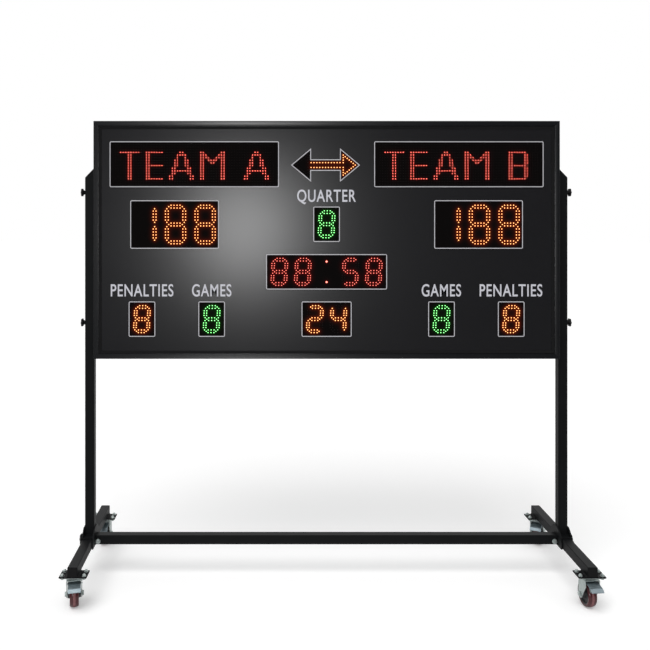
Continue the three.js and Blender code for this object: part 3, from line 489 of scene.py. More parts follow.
@dataclass
class Form:
    """The mesh of one piece while it is made, in metres, in the frame of the whole object.

    What is added without a finish of its own gets the form's.
    """

    finish: Finish
    base: Matrix = field(default_factory=Matrix)
    points: list[Vector] = field(default_factory=list)
    faces: list[Face] = field(default_factory=list)
    slots: list[int] = field(default_factory=list)
    marks: list[float] = field(default_factory=list)
    finishes: list[Finish] = field(default_factory=list)

    def add(
        self, points: list[Vector], faces: list[Face], place: Matrix, finish: Finish | None = None,
        marks: list[float] | None = None,
    ) -> "Form":
        """Adds a mesh.

        Args:
            points: Its points.
            faces: Its faces, as numbers of points.
            place: Where it goes.
            finish: What it is made of.
            marks: How brightly each point glows, from 0 to 1.

        Returns:
            The form itself.
        """
        start = len(self.points)
        matrix = self.base @ place
        finish = finish or self.finish
        self.points += [matrix @ point for point in points]
        self.marks += marks or [0.0] * len(points)
        if finish not in self.finishes:
            self.finishes.append(finish)
        self.faces += [tuple(start + i for i in face) for face in faces]
        self.slots += [self.finishes.index(finish)] * len(faces)
        return self

    def plate(
        self, loops: list[Loop], low: float, high: float, place: Matrix, edge: float = 0.0, steps: int = 1,
        finish: Finish | None = None,
    ) -> "Form":
        """Adds a plate with holes and eased edges.

        Args:
            loops: Its outline, then its holes.
            low: Where its thickness starts.
            high: Where its thickness ends.
            place: How it lies.
            edge: Size of the eased edge.
            steps: Chords in the eased edge, 1 for a chamfer.
            finish: What it is made of.

        Returns:
            The form itself.
        """
        turns = [math.pi / 2 * i / steps for i in range(steps + 1)] if edge else [math.pi / 2]
        foot = [(edge * (1 - math.sin(t)), low + edge * (1 - math.cos(t))) for t in turns]
        head = [(shift, low + high - height) for shift, height in reversed(foot)]
        points: list[Vector] = []
        faces: list[Face] = []
        caps: list[list[list[int]]] = [[], []]
        for number, loop in enumerate(loops):
            ordered = loop if (area(loop) > 0) == (number == 0) else loop[::-1]
            rings = []
            for shift, height in foot + head:
                rings.append(list(range(len(points), len(points) + len(ordered))))
                moved = inset(ordered, shift) if shift else ordered
                points += [Vector((x, y, height)) for x, y in moved]
            for lower, upper in zip(rings, rings[1:]):
                for i, corner in enumerate(lower):
                    nxt = (i + 1) % len(lower)
                    faces.append((corner, lower[nxt], upper[nxt], upper[i]))
            caps[0].append(rings[0])
            caps[1].append(rings[-1])
        for cap, up in zip(caps, (False, True)):
            numbers = [i for ring in cap for i in ring]
            for triangle in tessellate_polygon([[points[i] for i in ring] for ring in cap]):
                a, b, c = (numbers[i] for i in triangle)
                rising = (points[b] - points[a]).cross(points[c] - points[a]).z > 0
                faces.append((a, b, c) if rising == up else (a, c, b))
        return self.add(points, faces, place, finish)

    def turned(
        self, profile: Loop, place: Matrix, sides: int = 32, closed: bool = False,
        finish: Finish | None = None, marks: list[float] | None = None,
    ) -> "Form":
        """Adds a turned shape about the thickness axis.

        Args:
            profile: Radius and height of each point, with the material on the left of the way up.
            place: How it lies.
            sides: Number of sides.
            closed: Whether the profile closes on itself, as a ring's does.
            finish: What it is made of.
            marks: How brightly each point of the profile glows.

        Returns:
            The form itself.
        """
        points: list[Vector] = []
        glow: list[float] = []
        rings: list[list[int]] = []
        for number, (radius, height) in enumerate(profile):
            count = sides if radius > 0 else 1
            rings.append([len(points) + i % count for i in range(sides)])
            for i in range(count):
                turn = 2 * math.pi * i / sides
                points.append(Vector((radius * math.cos(turn), radius * math.sin(turn), height)))
                glow.append(marks[number] if marks else 0.0)
        faces: list[Face] = []
        pairs = list(zip(rings, rings[1:])) + ([(rings[-1], rings[0])] if closed else [])
        for lower, upper in pairs:
            for i in range(sides):
                nxt = (i + 1) % sides
                faces.append(tuple(dict.fromkeys((lower[i], lower[nxt], upper[nxt], upper[i]))))
        return self.add(points, faces, place, finish, glow)

    def rod(
        self, radius: float, low: float, high: float, place: Matrix, edge: float = 0.5 * MM,
        finish: Finish | None = None,
    ) -> "Form":
        """Adds a round bar with eased ends."""
        side = [(radius - edge, low), (radius, low + edge), (radius, high - edge), (radius - edge, high)]
        return self.turned([(0, low), *side, (0, high)], place, finish=finish)

    def hexagon(self, radius: float, low: float, high: float, place: Matrix) -> "Form":
        """Adds a bolt head or nut: a hexagon with chamfered ends."""
        return self.plate([circle(radius, sides=6)], low, high, place, edge=0.8 * MM)

    def nut(
        self, radius: float, washer: Point, low: float, high: float, place: Matrix, side: int = 1,
        edge: float = 0.3 * MM,
    ) -> "Form":
        """Adds a bolt head or nut on its washer.

        Args:
            radius: Half of the hexagon's width across its corners.
            washer: Radius and thickness of the washer.
            low: Where the washer starts.
            high: Where the hexagon ends.
            place: How they lie.
            side: -1 where they stand on the other side of the origin.
            edge: Size of the washer's eased edge.

        Returns:
            The form itself.
        """
        split = low + washer[1]
        self.rod(washer[0], *mirrored(side, low, split), place, edge)
        return self.hexagon(radius, *mirrored(side, split, high), place)

    def stamp(self, other: "Form", places: list[Vector]) -> "Form":
        """Adds a copy of another form, of one finish, at each place.

        Args:
            other: The form that is copied.
            places: How far each copy is moved.

        Returns:
            The form itself.
        """
        for place in places:
            self.add(other.points, other.faces, Matrix.Translation(place), other.finish, other.marks)
        return self

    def piece(
        self, name: str, body: str = BOARD_BODY, replaces: tuple[str, ...] = (), slot: str = "",
        smooth: float = 35.0,
    ) -> bpy.types.Object:
        """Turns the form into a piece of the scene.

        Args:
            name: The piece's name.
            body: The body that it rides on.
            replaces: The nodes that it stands for.
            slot: Meant as the piece's material slot; not used.
            smooth: Edges flatter than this many degrees are shaded smooth.

        Returns:
            The piece.
        """
        mesh = bpy.data.meshes.new(name)
        mesh.from_pydata(self.points, [], self.faces)
        for finish in self.finishes:
            mesh.materials.append(finish.material())
        mesh.polygons.foreach_set("material_index", self.slots)
        mesh.polygons.foreach_set("use_smooth", [True] * len(self.faces))
        mesh.set_sharp_from_angle(angle=math.radians(smooth))
        if any(self.marks):
            glow = mesh.attributes.new("glow", "FLOAT", "POINT")
            glow.data.foreach_set("value", self.marks)
        mesh.update()
        made = bpy.data.objects.new(name, mesh)
        bpy.context.scene.collection.objects.link(made)
        weighted = made.modifiers.new("weighted_normals", "WEIGHTED_NORMAL")
        weighted.keep_sharp = True
        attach(made, body)
        if replaces:
            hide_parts(*replaces)
        LOG.info("%s: %d faces on %s", name, len(self.faces), body)
        return made


def dress(node: str, finish: Finish) -> None:
    """Gives a node of the frame its finish.

    Args:
        node: The node's name.
        finish: The finish.
    """
    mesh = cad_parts[node].data
    mesh.materials.clear()
    mesh.materials.append(finish.material())
    LOG.info("%s: dressed", node)


def middle(node: str) -> Vector:
    """The middle of a node's box."""
    low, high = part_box(node)
    return (low + high) / 2


# Board


@dataclass(frozen=True)
class Rail:
    """One side of the frame: its node, its turn about the board's middle, and its finish.

    Its face leans inward by one angle at its outer edge and another at its inner edge, in degrees. The light
    on it in the photograph tells these angles.
    """

    node: str
    turn: float
    finish: Finish
    outer_lean: float
    inner_lean: float


@dataclass
class BoardCase:
    """The mitred frame, the front panel and the rear cover with its screws."""

    rails: tuple[Rail, ...] = (
        Rail("frame_bottom", 0.0, ANODISED_ACROSS, 4.0, 1.5),
        Rail("frame_top", 180.0, ANODISED_ACROSS, 1.5, 11.0),
        Rail("frame_left", 90.0, ANODISED_UPRIGHT, 0.0, 1.0),
        Rail("frame_right", -90.0, ANODISED_UPRIGHT, 1.0, 13.0),
    )
    face: float = 34 * MM
    wall: float = 2.2 * MM
    crest_width: float = 21 * MM
    crest_round: float = 1.6 * MM
    crest_steps: int = 18
    groove_width: float = 2.4 * MM
    lip_depth: float = 5.4 * MM
    lip: float = 1.4 * MM
    gasket_rise: float = 1.9 * MM
    gasket_fall: float = 0.3 * MM
    gasket_bevel: float = 1.2 * MM
    gasket_round: float = 0.6 * MM
    edge_round: float = 0.7 * MM
    mitre_gap: float = 0.15 * MM
    screw_inset: float = 12 * MM
    screws_across: int = 7
    screws_up: int = 4
    screw_radius: float = 4.2 * MM
    screw_rise: float = 2.2 * MM
    screw_sides: int = 20
    screw_crown: float = 0.72
    screw_foot: float = 0.2 * MM
    screw_shoulder: tuple[Point, ...] = ((1.0, 0.0), (1.0, 0.35), (0.9, 0.75))
    cross_floor: float = 0.45
    cross_length: float = 4.4 * MM
    cross_width: float = 1.1 * MM
    vent_size: Point = (120 * MM, 8 * MM)
    vent_flat: float = 0.01 * MM
    vent_pitch: float = 24 * MM
    vent_rows: int = 4
    vent_bank: Point = (620 * MM, 380 * MM)
    grille_x: float = -420 * MM
    grille_ring: float = 13 * MM
    grille_holes: int = 6
    grille_radius: float = 4 * MM
    inlet_opening: Point = (48.6 * MM, 26.6 * MM)
    inlet_round: float = 1 * MM

    def section(self, depth: float, rail: Rail) -> Loop:
        """A rail's section: depth behind the front plane against distance from the outer edge.

        Args:
            depth: Depth of the whole frame.
            rail: The rail, for the leans of its face.

        Returns:
            The closed section.
        """
        step = (self.crest_width - self.crest_round) / self.crest_steps
        face = [(0.0, self.crest_round)]
        for i in range(self.crest_steps):
            lean = rail.outer_lean + (rail.inner_lean - rail.outer_lean) * (i + 0.5) / self.crest_steps
            face.append((face[-1][0] + step * math.tan(math.radians(lean)), face[-1][1] + step))
        edge = arc((self.crest_round, self.crest_round), self.crest_round, 180, 270, steps=5)
        lip_back = self.lip_depth + self.lip
        back = [(depth, 0.0), (depth, self.wall), (lip_back, self.wall), (lip_back, self.face)]
        lip_front = [(self.lip_depth, self.face), (self.lip_depth, self.crest_width)]
        return back + lip_front + face[::-1] + edge[1:]

    def gasket(self) -> Loop:
        """The section of the rubber gasket, a wedge that lies on the rail's lip.

        Returns:
            The closed section.
        """
        start = self.crest_width + self.groove_width
        root, top = self.lip_depth + self.lip / 2, self.lip_depth - self.gasket_rise
        toe = (self.lip_depth - self.gasket_fall, self.face)
        return [(root, start), (root, self.face), toe, (top, start + self.gasket_bevel), (top, start)]

    def mitred(self, loop: Loop, length: float, reach: float) -> tuple[list[Vector], list[Face]]:
        """A bar of one section with both its ends cut at 45 degrees, below the board's middle.

        Args:
            loop: The section.
            length: Length along the board's outer edge.
            reach: Size of the board across it.

        Returns:
            Its points and faces.
        """
        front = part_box("frame_bottom")[0].y
        points = []
        for side in (-1, 1):
            for depth, inward in loop:
                across = side * (length / 2 - inward - self.mitre_gap)
                points.append(Vector((across, front + depth, inward - reach / 2)))
        count = len(loop)
        ring = [(i, (i + 1) % count, count + (i + 1) % count, count + i) for i in range(count)]
        faces: list[Face] = [tuple(reversed(face)) for face in ring]
        for start, up in ((0, False), (count, True)):
            for a, b, c in tessellate_polygon([[Vector((x, y, 0)) for x, y in loop]]):
                face = (start + a, start + b, start + c)
                normal = (points[face[1]] - points[face[0]]).cross(points[face[2]] - points[face[0]])
                faces.append(face if (normal.x > 0) == up else face[::-1])
        return points, faces

    def rail(self, rail: Rail, width: float, height: float) -> None:
        """One mitred rail and its length of gasket.

        Args:
            rail: Which rail.
            width: Width of the board.
            height: Height of the board.
        """
        low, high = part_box("frame_bottom")
        length, reach = (width, height) if rail.finish is ANODISED_ACROSS else (height, width)
        turn = Matrix.Rotation(math.radians(rail.turn), 4, "Y")
        place = Matrix.Translation((0, 0, low.z + height / 2)) @ turn
        form = Form(rail.finish)
        section = softened(self.section(high.y - low.y, rail), self.edge_round, steps=3)
        gasket = softened(self.gasket(), self.gasket_round, steps=3)
        form.add(*self.mitred(section, length, reach), place)
        form.add(*self.mitred(gasket, length, reach), place, GASKET)
        form.piece(f"{rail.node}_rail", replaces=(rail.node,), slot="frame_rail", smooth=24)

    def cover(self) -> None:
        """The rear cover, with vents, sound holes and the inlet's opening."""
        low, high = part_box("rear_cover")
        centre = (low + high) / 2
        inlet = middle("power_inlet")
        holes = [round_rect(*self.inlet_opening, self.inlet_round, (inlet.x, inlet.z))]
        bank_x, bank_z = self.vent_bank
        for side, end in ((-1, -1), (-1, 1), (1, 1)):
            for row in range(self.vent_rows):
                spot = (side * bank_x, centre.z + end * (bank_z - row * self.vent_pitch))
                holes.append(round_rect(*self.vent_size, self.vent_size[1] / 2 - self.vent_flat, spot))
        for hole in circle(self.grille_ring, self.grille_holes, (self.grille_x, centre.z)):
            holes.append(circle(self.grille_radius, sides=20, centre=hole))
        sheet = rectangle(low.x, low.z, high.x, high.z)
        form = Form(COVER_SHEET).plate([sheet, *holes], -high.y, -low.y, at(lie=Lie.FRONT), edge=0.3 * MM)
        form.piece("rear_cover_sheet", replaces=("rear_cover",), slot="rear_cover")
        self.screws(low, high)

    def screws(self, low: Vector, high: Vector) -> None:
        """Pan head screws with a cross recess, round the edge of the cover.

        Args:
            low: The cover's lowest corner.
            high: Its highest corner.
        """
        radius, rise = self.screw_radius, self.screw_rise
        reach, half = self.cross_length / 2, self.cross_width / 2
        arm = [(reach, -half), (reach, half), (half, half)]
        cross: Loop = []
        for _ in range(4):
            cross += arm
            arm = [(-y, x) for x, y in arm]
        crown, floor = radius * self.screw_crown, rise * self.cross_floor
        shoulder = [(radius * out, rise * up) for out, up in self.screw_shoulder]
        dome = [(crown, rise), (crown, self.screw_foot), *shoulder]
        core, behind = circle(crown, self.screw_sides), at(lie=Lie.BACK)
        head = Form(ZINC_PLATE).turned(dome, behind, self.screw_sides, closed=True)
        head.plate([core, cross], floor, rise, behind)
        head.plate([core], 0.0, floor, behind)
        last_x, last_z = self.screws_across - 1, self.screws_up - 1
        step_x = (high.x - low.x - 2 * self.screw_inset) / last_x
        step_z = (high.z - low.z - 2 * self.screw_inset) / last_z
        places = [
            Vector((low.x + self.screw_inset + i * step_x, high.y, low.z + self.screw_inset + j * step_z))
            for i in range(last_x + 1) for j in range(last_z + 1) if i in (0, last_x) or j in (0, last_z)
        ]
        Form(ZINC_PLATE).stamp(head, places).piece("rear_cover_screws", slot="zinc")

    def build(self) -> None:
        """Builds the frame and the cover, and dresses the panel."""
        low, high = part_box("frame_bottom")[0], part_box("frame_top")[1]
        for rail in self.rails:
            self.rail(rail, high.x - low.x, high.z - low.z)
        dress("front_panel", PANEL_SHEET)
        self.cover()


@dataclass
class Lamp:
    """One lamp: its place from its window's middle, whether it is lit, and how many times the usual size."""

    x: float
    z: float
    lit: bool = True
    size: float = 1.0


@dataclass(frozen=True)
class Bar:
    """The lamps of one bar of a digit: pairs on both sides of its line, and one lamp at each end."""

    gap: float
    pairs: Point
    end: float

    def lamps(self) -> list[Point]:
        """The lamps, as distance along and across the bar.

        Returns:
            The lamps' places.
        """
        along = sorted({side * pair for side in (-1, 1) for pair in self.pairs})
        beside = [(spot, side * self.gap) for spot in along for side in (-1, 1)]
        return [(-self.end, 0.0), (self.end, 0.0), *beside]


class DigitSize(Enum):
    """The two digit sizes: rise and span between bars, slant, and an upright and a level bar."""

    BIG = (
        76.7 * MM, 74.5 * MM, 0.0,
        Bar(6.0 * MM, (6.4 * MM, 19.2 * MM), 29.1 * MM), Bar(6.0 * MM, (6.4 * MM, 19.2 * MM), 29.1 * MM),
    )
    SMALL = (
        52.1 * MM, 56.6 * MM, 0.052,
        Bar(5.4 * MM, (0.0, 9.9 * MM), 19.8 * MM), Bar(5.7 * MM, (0.0, 12.6 * MM), 20.6 * MM),
    )

    def lamps(self, digit: str, x: float, half: bool = False) -> list[Lamp]:
        """The lamps of one digit.

        Args:
            digit: Which digit is lit.
            x: Its middle, from the middle of the window.
            half: Whether it has only the two bars of a 1.

        Returns:
            All its lamps, lit and unlit.
        """
        rise, span, slant, upright_bar, level_bar = self.value
        bars = {
            "a": (0, rise, False), "b": (span / 2, rise / 2, True), "c": (span / 2, -rise / 2, True),
            "d": (0, -rise, False), "e": (-span / 2, -rise / 2, True), "f": (-span / 2, rise / 2, True),
            "g": (0, 0, False),
        }
        made = []
        for letter in "bc" if half else bars:
            bar_x, bar_z, upright = bars[letter]
            for along, across in (upright_bar if upright else level_bar).lamps():
                dx, dz = (across, along) if upright else (along, across)
                z = bar_z + dz
                made.append(Lamp(x + bar_x + dx + slant * z, z, letter in LIT_BARS[digit]))
        return made


LIT_BARS = {"1": "bc", "2": "abdeg", "4": "bcfg", "5": "acdfg", "8": "abcdefg"}

# Letters of the matrix windows, eleven rows high: uprights two lamps wide and level strokes one lamp high.
GLYPHS = {
    "T": ["########"] + ["...##..."] * 10,
    "E": ["#######"] + ["##....."] * 4 + ["#######"] + ["##....."] * 4 + ["#######"],
    "A": ["....##....", "...####...", "...#..#...", "..##..##..", "..##..##..", "..##..##..",
          ".##....##.", ".########.", ".##....##.", "##......##", "##......##"],
    "M": ["##......##", "###....###", "####..####", "##.####.##", "##..##..##"] + ["##......##"] * 6,
    "B": ["#######."] + ["##....##"] * 4 + ["#######."] + ["##....##"] * 4 + ["#######."],
    " ": ["..."] * 11,
}


@dataclass
class Window:
    """One lamp window: a black mask in a printed outline, with a bead for each lamp."""

    node: str
    colour: LampColour
    lamps: list[Lamp]
    outline: Loop = field(default_factory=list)
    rim: float = 3.4 * MM
    rim_sink: float = 0.2 * MM
    margin: float = 1.3 * MM
    round: float = 8 * MM
    plate: float = 2.2 * MM
    mask_rise: float = 0.2 * MM
    bead_radius: float = 2.4 * MM
    bead_rise: float = 1.7 * MM
    bead_sink: float = 0.2 * MM
    bead_sides: int = 10
    bead_steps: int = 3
    cell: float = 2.8 * MM
    spill_near: float = 5.0 * MM
    spill_far: float = 14 * MM
    far_share: float = 0.1

    def bead(self, lit: bool, size: float) -> Form:
        """One bead: a short wall and a dome, brightest at its top. A bigger bead is brighter with its size.

        Args:
            lit: Whether it shines.
            size: How many times the usual size it is.

        Returns:
            The bead, at the origin.
        """
        shares = [i / self.bead_steps for i in range(self.bead_steps + 1)]
        radius, rise = self.bead_radius * size, self.bead_rise
        dome = [(radius * math.cos(math.pi / 2 * s), rise * math.sin(math.pi / 2 * s)) for s in shares[:-1]]
        profile = [(0.0, -self.bead_sink), (radius, -self.bead_sink), *dome, (0.0, rise)]
        marks = [0.0, 0.0, *[share * size for share in shares]]
        form = Form(self.colour.bead() if lit else UNLIT_EPOXY)
        return form.turned(profile, at(lie=Lie.FRONT), self.bead_sides, marks=marks if lit else None)

    def spill(self, x: float, z: float, lit: list[Point]) -> float:
        """How much lamp light is painted on the mask as a glow at one place.

        Args:
            x: The place across, from the window's middle.
            z: The place up.
            lit: The places of the lit lamps.

        Returns:
            The painted glow, from 0 to 1.
        """
        total = 0.0
        for lamp_x, lamp_z in lit:
            away = (lamp_x - x) ** 2 + (lamp_z - z) ** 2
            if away < (3 * self.spill_far) ** 2:
                total += math.exp(-away / self.spill_near**2)
                total += self.far_share * math.exp(-away / self.spill_far**2)
        return min(total, 1.0)

    def mask(self, loop: Loop, place: Matrix) -> Form:
        """The face of the mask, a thin slab cut into cells so that it can carry the painted glow of spilled
        light.

        Args:
            loop: The window's outline.
            place: How the window lies.

        Returns:
            The slab, without its back.
        """
        edge = inset(loop, self.rim / 2)
        xs, zs = [p[0] for p in edge], [p[1] for p in edge]
        low_x, low_z, wide, high = min(xs), min(zs), max(xs) - min(xs), max(zs) - min(zs)
        columns, rows = math.ceil(wide / self.cell), math.ceil(high / self.cell)
        step_x, step_z = wide / columns, high / rows
        cells = {
            (i, j) for i in range(columns) for j in range(rows)
            if inside(edge, low_x + (i + 0.5) * step_x, low_z + (j + 0.5) * step_z)
        }
        tops, walls = [], []
        for i, j in sorted(cells):
            corners = [(i, j), (i + 1, j), (i + 1, j + 1), (i, j + 1)]
            tops.append(corners)
            for side, beside in enumerate(((i, j - 1), (i + 1, j), (i, j + 1), (i - 1, j))):
                if beside not in cells:
                    walls.append((corners[side], corners[(side + 1) % 4]))
        knots = [(knot, 1) for knot in sorted({knot for corners in tops for knot in corners})]
        knots += [(knot, 0) for knot in sorted({knot for wall in walls for knot in wall})]
        number = {knot: i for i, knot in enumerate(knots)}
        lit = [(lamp.x, lamp.z) for lamp in self.lamps if lamp.lit]
        points, marks = [], []
        for (i, j), level in knots:
            x, z = low_x + i * step_x, low_z + j * step_z
            points.append(Vector((x, z, level * self.mask_rise)))
            marks.append(self.spill(x, z, lit) if level else 0.0)
        faces = [tuple(number[knot, 1] for knot in corners) for corners in tops]
        faces += [(number[a, 0], number[b, 0], number[b, 1], number[a, 1]) for a, b in walls]
        return Form(self.colour.mask()).add(points, faces, place, marks=marks)

    def build(self) -> None:
        """Builds the window in the place of its node."""
        low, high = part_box(self.node)
        centre = (low + high) / 2
        width, height = high.x - low.x - 2 * self.margin, high.z - low.z - 2 * self.margin
        loop = self.outline or round_rect(width, height, self.round - self.margin)
        place = at(centre.x, high.y, centre.z, Lie.FRONT)
        board = Form(LAMP_MASK).plate([loop], 0.0, self.plate, place, edge=0.3 * MM)
        ring = [loop, inset(loop, self.rim)]
        board.plate(
            ring, self.plate - self.rim_sink, high.y - low.y, place, edge=0.2 * MM, finish=OUTLINE_INK,
        )
        board.piece(f"{self.node}_board", replaces=(self.node,), slot="lamp_board")
        self.mask(loop, at(centre.x, high.y - self.plate, centre.z, Lie.FRONT)).piece(f"{self.node}_mask")
        beads = Form(UNLIT_EPOXY)
        front = high.y - self.plate - self.mask_rise
        for lit, size in sorted({(lamp.lit, lamp.size) for lamp in self.lamps}):
            spots = [
                Vector((centre.x + lamp.x, front, centre.z + lamp.z))
                for lamp in self.lamps if (lamp.lit, lamp.size) == (lit, size)
            ]
            beads.stamp(self.bead(lit, size), spots)
        beads.piece(f"{self.node}_lamps")


@dataclass
class Displays:
    """All the lamp windows of the board, and the printed captions."""

    matrix_pitch: Point = (11.1 * MM, 11.37 * MM)
    matrix_columns: int = 62
    matrix_rows: int = 16
    matrix_bead: float = 1.7 * MM
    first_column: int = 2
    first_row: int = 3
    letter_gap: int = 2
    score_pitch: float = 127 * MM
    score_shift: float = 4 * MM
    small_pitch: float = 100.5 * MM
    colon_space: float = 102 * MM
    colon_spread: float = 44 * MM
    colon_size: float = 1.9
    arrow_half: float = 148 * MM
    arrow_head: float = 62 * MM
    arrow_head_half: float = 72 * MM
    arrow_shaft_half: float = 24.6 * MM
    arrow_rim: float = 3.6 * MM
    row_half: float = 10.3 * MM
    row_pitch: float = 12.4 * MM
    row_lamps: int = 11
    head_x: float = 75.9 * MM
    head_half: float = 43 * MM
    tip_x: float = 127.3 * MM
    diagonal_lamps: int = 5
    column_lamps: int = 4
    caption_height: float = 52 * MM
    caption_rise: float = 0.15 * MM
    caption_sink: float = 0.02 * MM
    caption_extrude: float = 0.01
    caption_weight: float = 0.010
    caption_space: float = 1.1
    quarter_fall: float = 320 * MM
    quarter_width: float = 252 * MM
    lower_fall: float = 726 * MM
    games_width: float = 169 * MM
    penalties_width: float = 269 * MM

    def matrix(self, word: str) -> list[Lamp]:
        """The lamps of a matrix window that shows a word.

        Args:
            word: The word, in letters that have a glyph.

        Returns:
            All its lamps, lit and unlit.
        """
        lit = set()
        column = self.first_column
        for letter in word:
            glyph = GLYPHS[letter]
            for row, line in enumerate(glyph):
                lit |= {(column + i, self.first_row + row) for i, mark in enumerate(line) if mark == "#"}
            column += len(glyph[0]) + self.letter_gap
        pitch_x, pitch_z = self.matrix_pitch
        first_x, top_z = pitch_x * (1 - self.matrix_columns) / 2, pitch_z * (self.matrix_rows - 1) / 2
        return [
            Lamp(first_x + i * pitch_x, top_z - j * pitch_z, (i, j) in lit)
            for i in range(self.matrix_columns) for j in range(self.matrix_rows)
        ]

    def score(self) -> list[Lamp]:
        """Three big digits, the first of them only a 1."""
        digits = (("1", -1, True), ("8", 0, False), ("8", 1, False))
        return [lamp for digit, place, half in digits
                for lamp in DigitSize.BIG.lamps(digit, self.score_shift + place * self.score_pitch, half)]

    def clock(self) -> list[Lamp]:
        """Four small digits and a colon.

        Returns:
            All their lamps, lit and unlit.
        """
        outer = self.colon_space + self.small_pitch
        digits = zip("8858", (-outer, -self.colon_space, self.colon_space, outer))
        lamps = [lamp for digit, x in digits for lamp in DigitSize.SMALL.lamps(digit, x)]
        return lamps + [Lamp(0.0, side * self.colon_spread, size=self.colon_size) for side in (-1, 1)]

    def arrow_outline(self) -> Loop:
        """The outline of the double arrow.

        Returns:
            The closed outline.
        """
        inner, head, shaft = self.arrow_head, self.arrow_head_half, self.arrow_shaft_half
        tip = (self.arrow_half, 0.0)
        return both_sides([(inner, -shaft), (inner, -head), tip, (inner, head), (inner, shaft)])

    def arrow(self) -> list[Lamp]:
        """The double arrow's lamps, lit on its shaft and its right head.

        Returns:
            All its lamps, lit and unlit.
        """
        first = -self.row_pitch * (self.row_lamps - 1) / 2
        step = (self.head_half - self.row_half) / (self.column_lamps - 1)
        lamps = [
            Lamp(first + i * self.row_pitch, side * self.row_half)
            for i in range(self.row_lamps) for side in (-1, 1)
        ]
        for turn, lit in ((1, True), (-1, False)):
            lamps.append(Lamp(turn * self.tip_x, 0.0, lit))
            for side in (-1, 1):
                for i in range(self.column_lamps):
                    lamps.append(Lamp(turn * self.head_x, side * (self.row_half + i * step), lit))
                for i in range(1, self.diagonal_lamps + 1):
                    share = i / (self.diagonal_lamps + 1)
                    x = self.head_x + (self.tip_x - self.head_x) * share
                    lamps.append(Lamp(turn * x, side * self.head_half * (1 - share), lit))
        return lamps

    def caption(self, name: str, word: str, x: float, z: float, width: float) -> None:
        """One printed caption, as a thin raised layer of ink.

        Args:
            name: The piece's name.
            word: What it says.
            x: Its middle across the board.
            z: Its middle height.
            width: Its printed width.
        """
        text = bpy.data.curves.new(name, "FONT")
        text.body = word
        text.offset = self.caption_weight
        text.space_character = self.caption_space
        text.extrude = self.caption_extrude
        holder = bpy.data.objects.new(name, text)
        bpy.context.scene.collection.objects.link(holder)
        mesh = bpy.data.meshes.new_from_object(holder.evaluated_get(bpy.context.evaluated_depsgraph_get()))
        bpy.data.objects.remove(holder)
        spots = [vertex.co.copy() for vertex in mesh.vertices]
        faces = [tuple(polygon.vertices) for polygon in mesh.polygons]
        bpy.data.meshes.remove(mesh)
        first, last = min(spot.x for spot in spots), max(spot.x for spot in spots)
        capital = max(spot.y for spot in spots)
        wide, high = width / (last - first), self.caption_height / capital
        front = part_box("front_panel")[0].y
        points = []
        for spot in spots:
            lift = self.caption_rise if spot.z > 0 else -self.caption_sink
            across, up = (spot.x - (last + first) / 2) * wide, (spot.y - capital / 2) * high
            points.append(Vector((x + across, front - lift, z + up)))
        Form(CAPTION_INK).add(points, faces, Matrix()).piece(name, smooth=1)

    def build(self) -> None:
        """Builds every window and caption."""
        digit = DigitSize.SMALL.lamps("8", 0.0)
        for word, name in (("TEAM A", "left"), ("TEAM B", "right")):
            Window(
                f"team_display_{name}", LampColour.WIDE_RED, self.matrix(word), bead_radius=self.matrix_bead,
                bead_sides=8,
            ).build()
            Window(f"score_display_{name}", LampColour.AMBER, self.score()).build()
            Window(f"foul_display_{name}", LampColour.GREEN, digit).build()
            Window(f"timeout_display_{name}", LampColour.AMBER, digit).build()
        Window("period_display", LampColour.GREEN, digit).build()
        Window("clock_display", LampColour.RED, self.clock()).build()
        half = self.small_pitch / 2
        shot = DigitSize.SMALL.lamps("2", -half) + DigitSize.SMALL.lamps("4", half)
        Window("shot_clock_display", LampColour.AMBER, shot).build()
        loop = self.arrow_outline()
        Window("arrow_display", LampColour.AMBER, self.arrow(), loop, rim=self.arrow_rim).build()
        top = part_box("frame_top")[1].z
        self.caption("caption_quarter", "QUARTER", 0.0, top - self.quarter_fall, self.quarter_width)
        words = (("GAMES", "foul", self.games_width), ("PENALTIES", "timeout", self.penalties_width))
        for _, name in SIDES:
            for word, node, width in words:
                x = middle(f"{node}_display_{name}").x
                self.caption(f"caption_{word.lower()}_{name}", word, x, top - self.lower_fall, width)


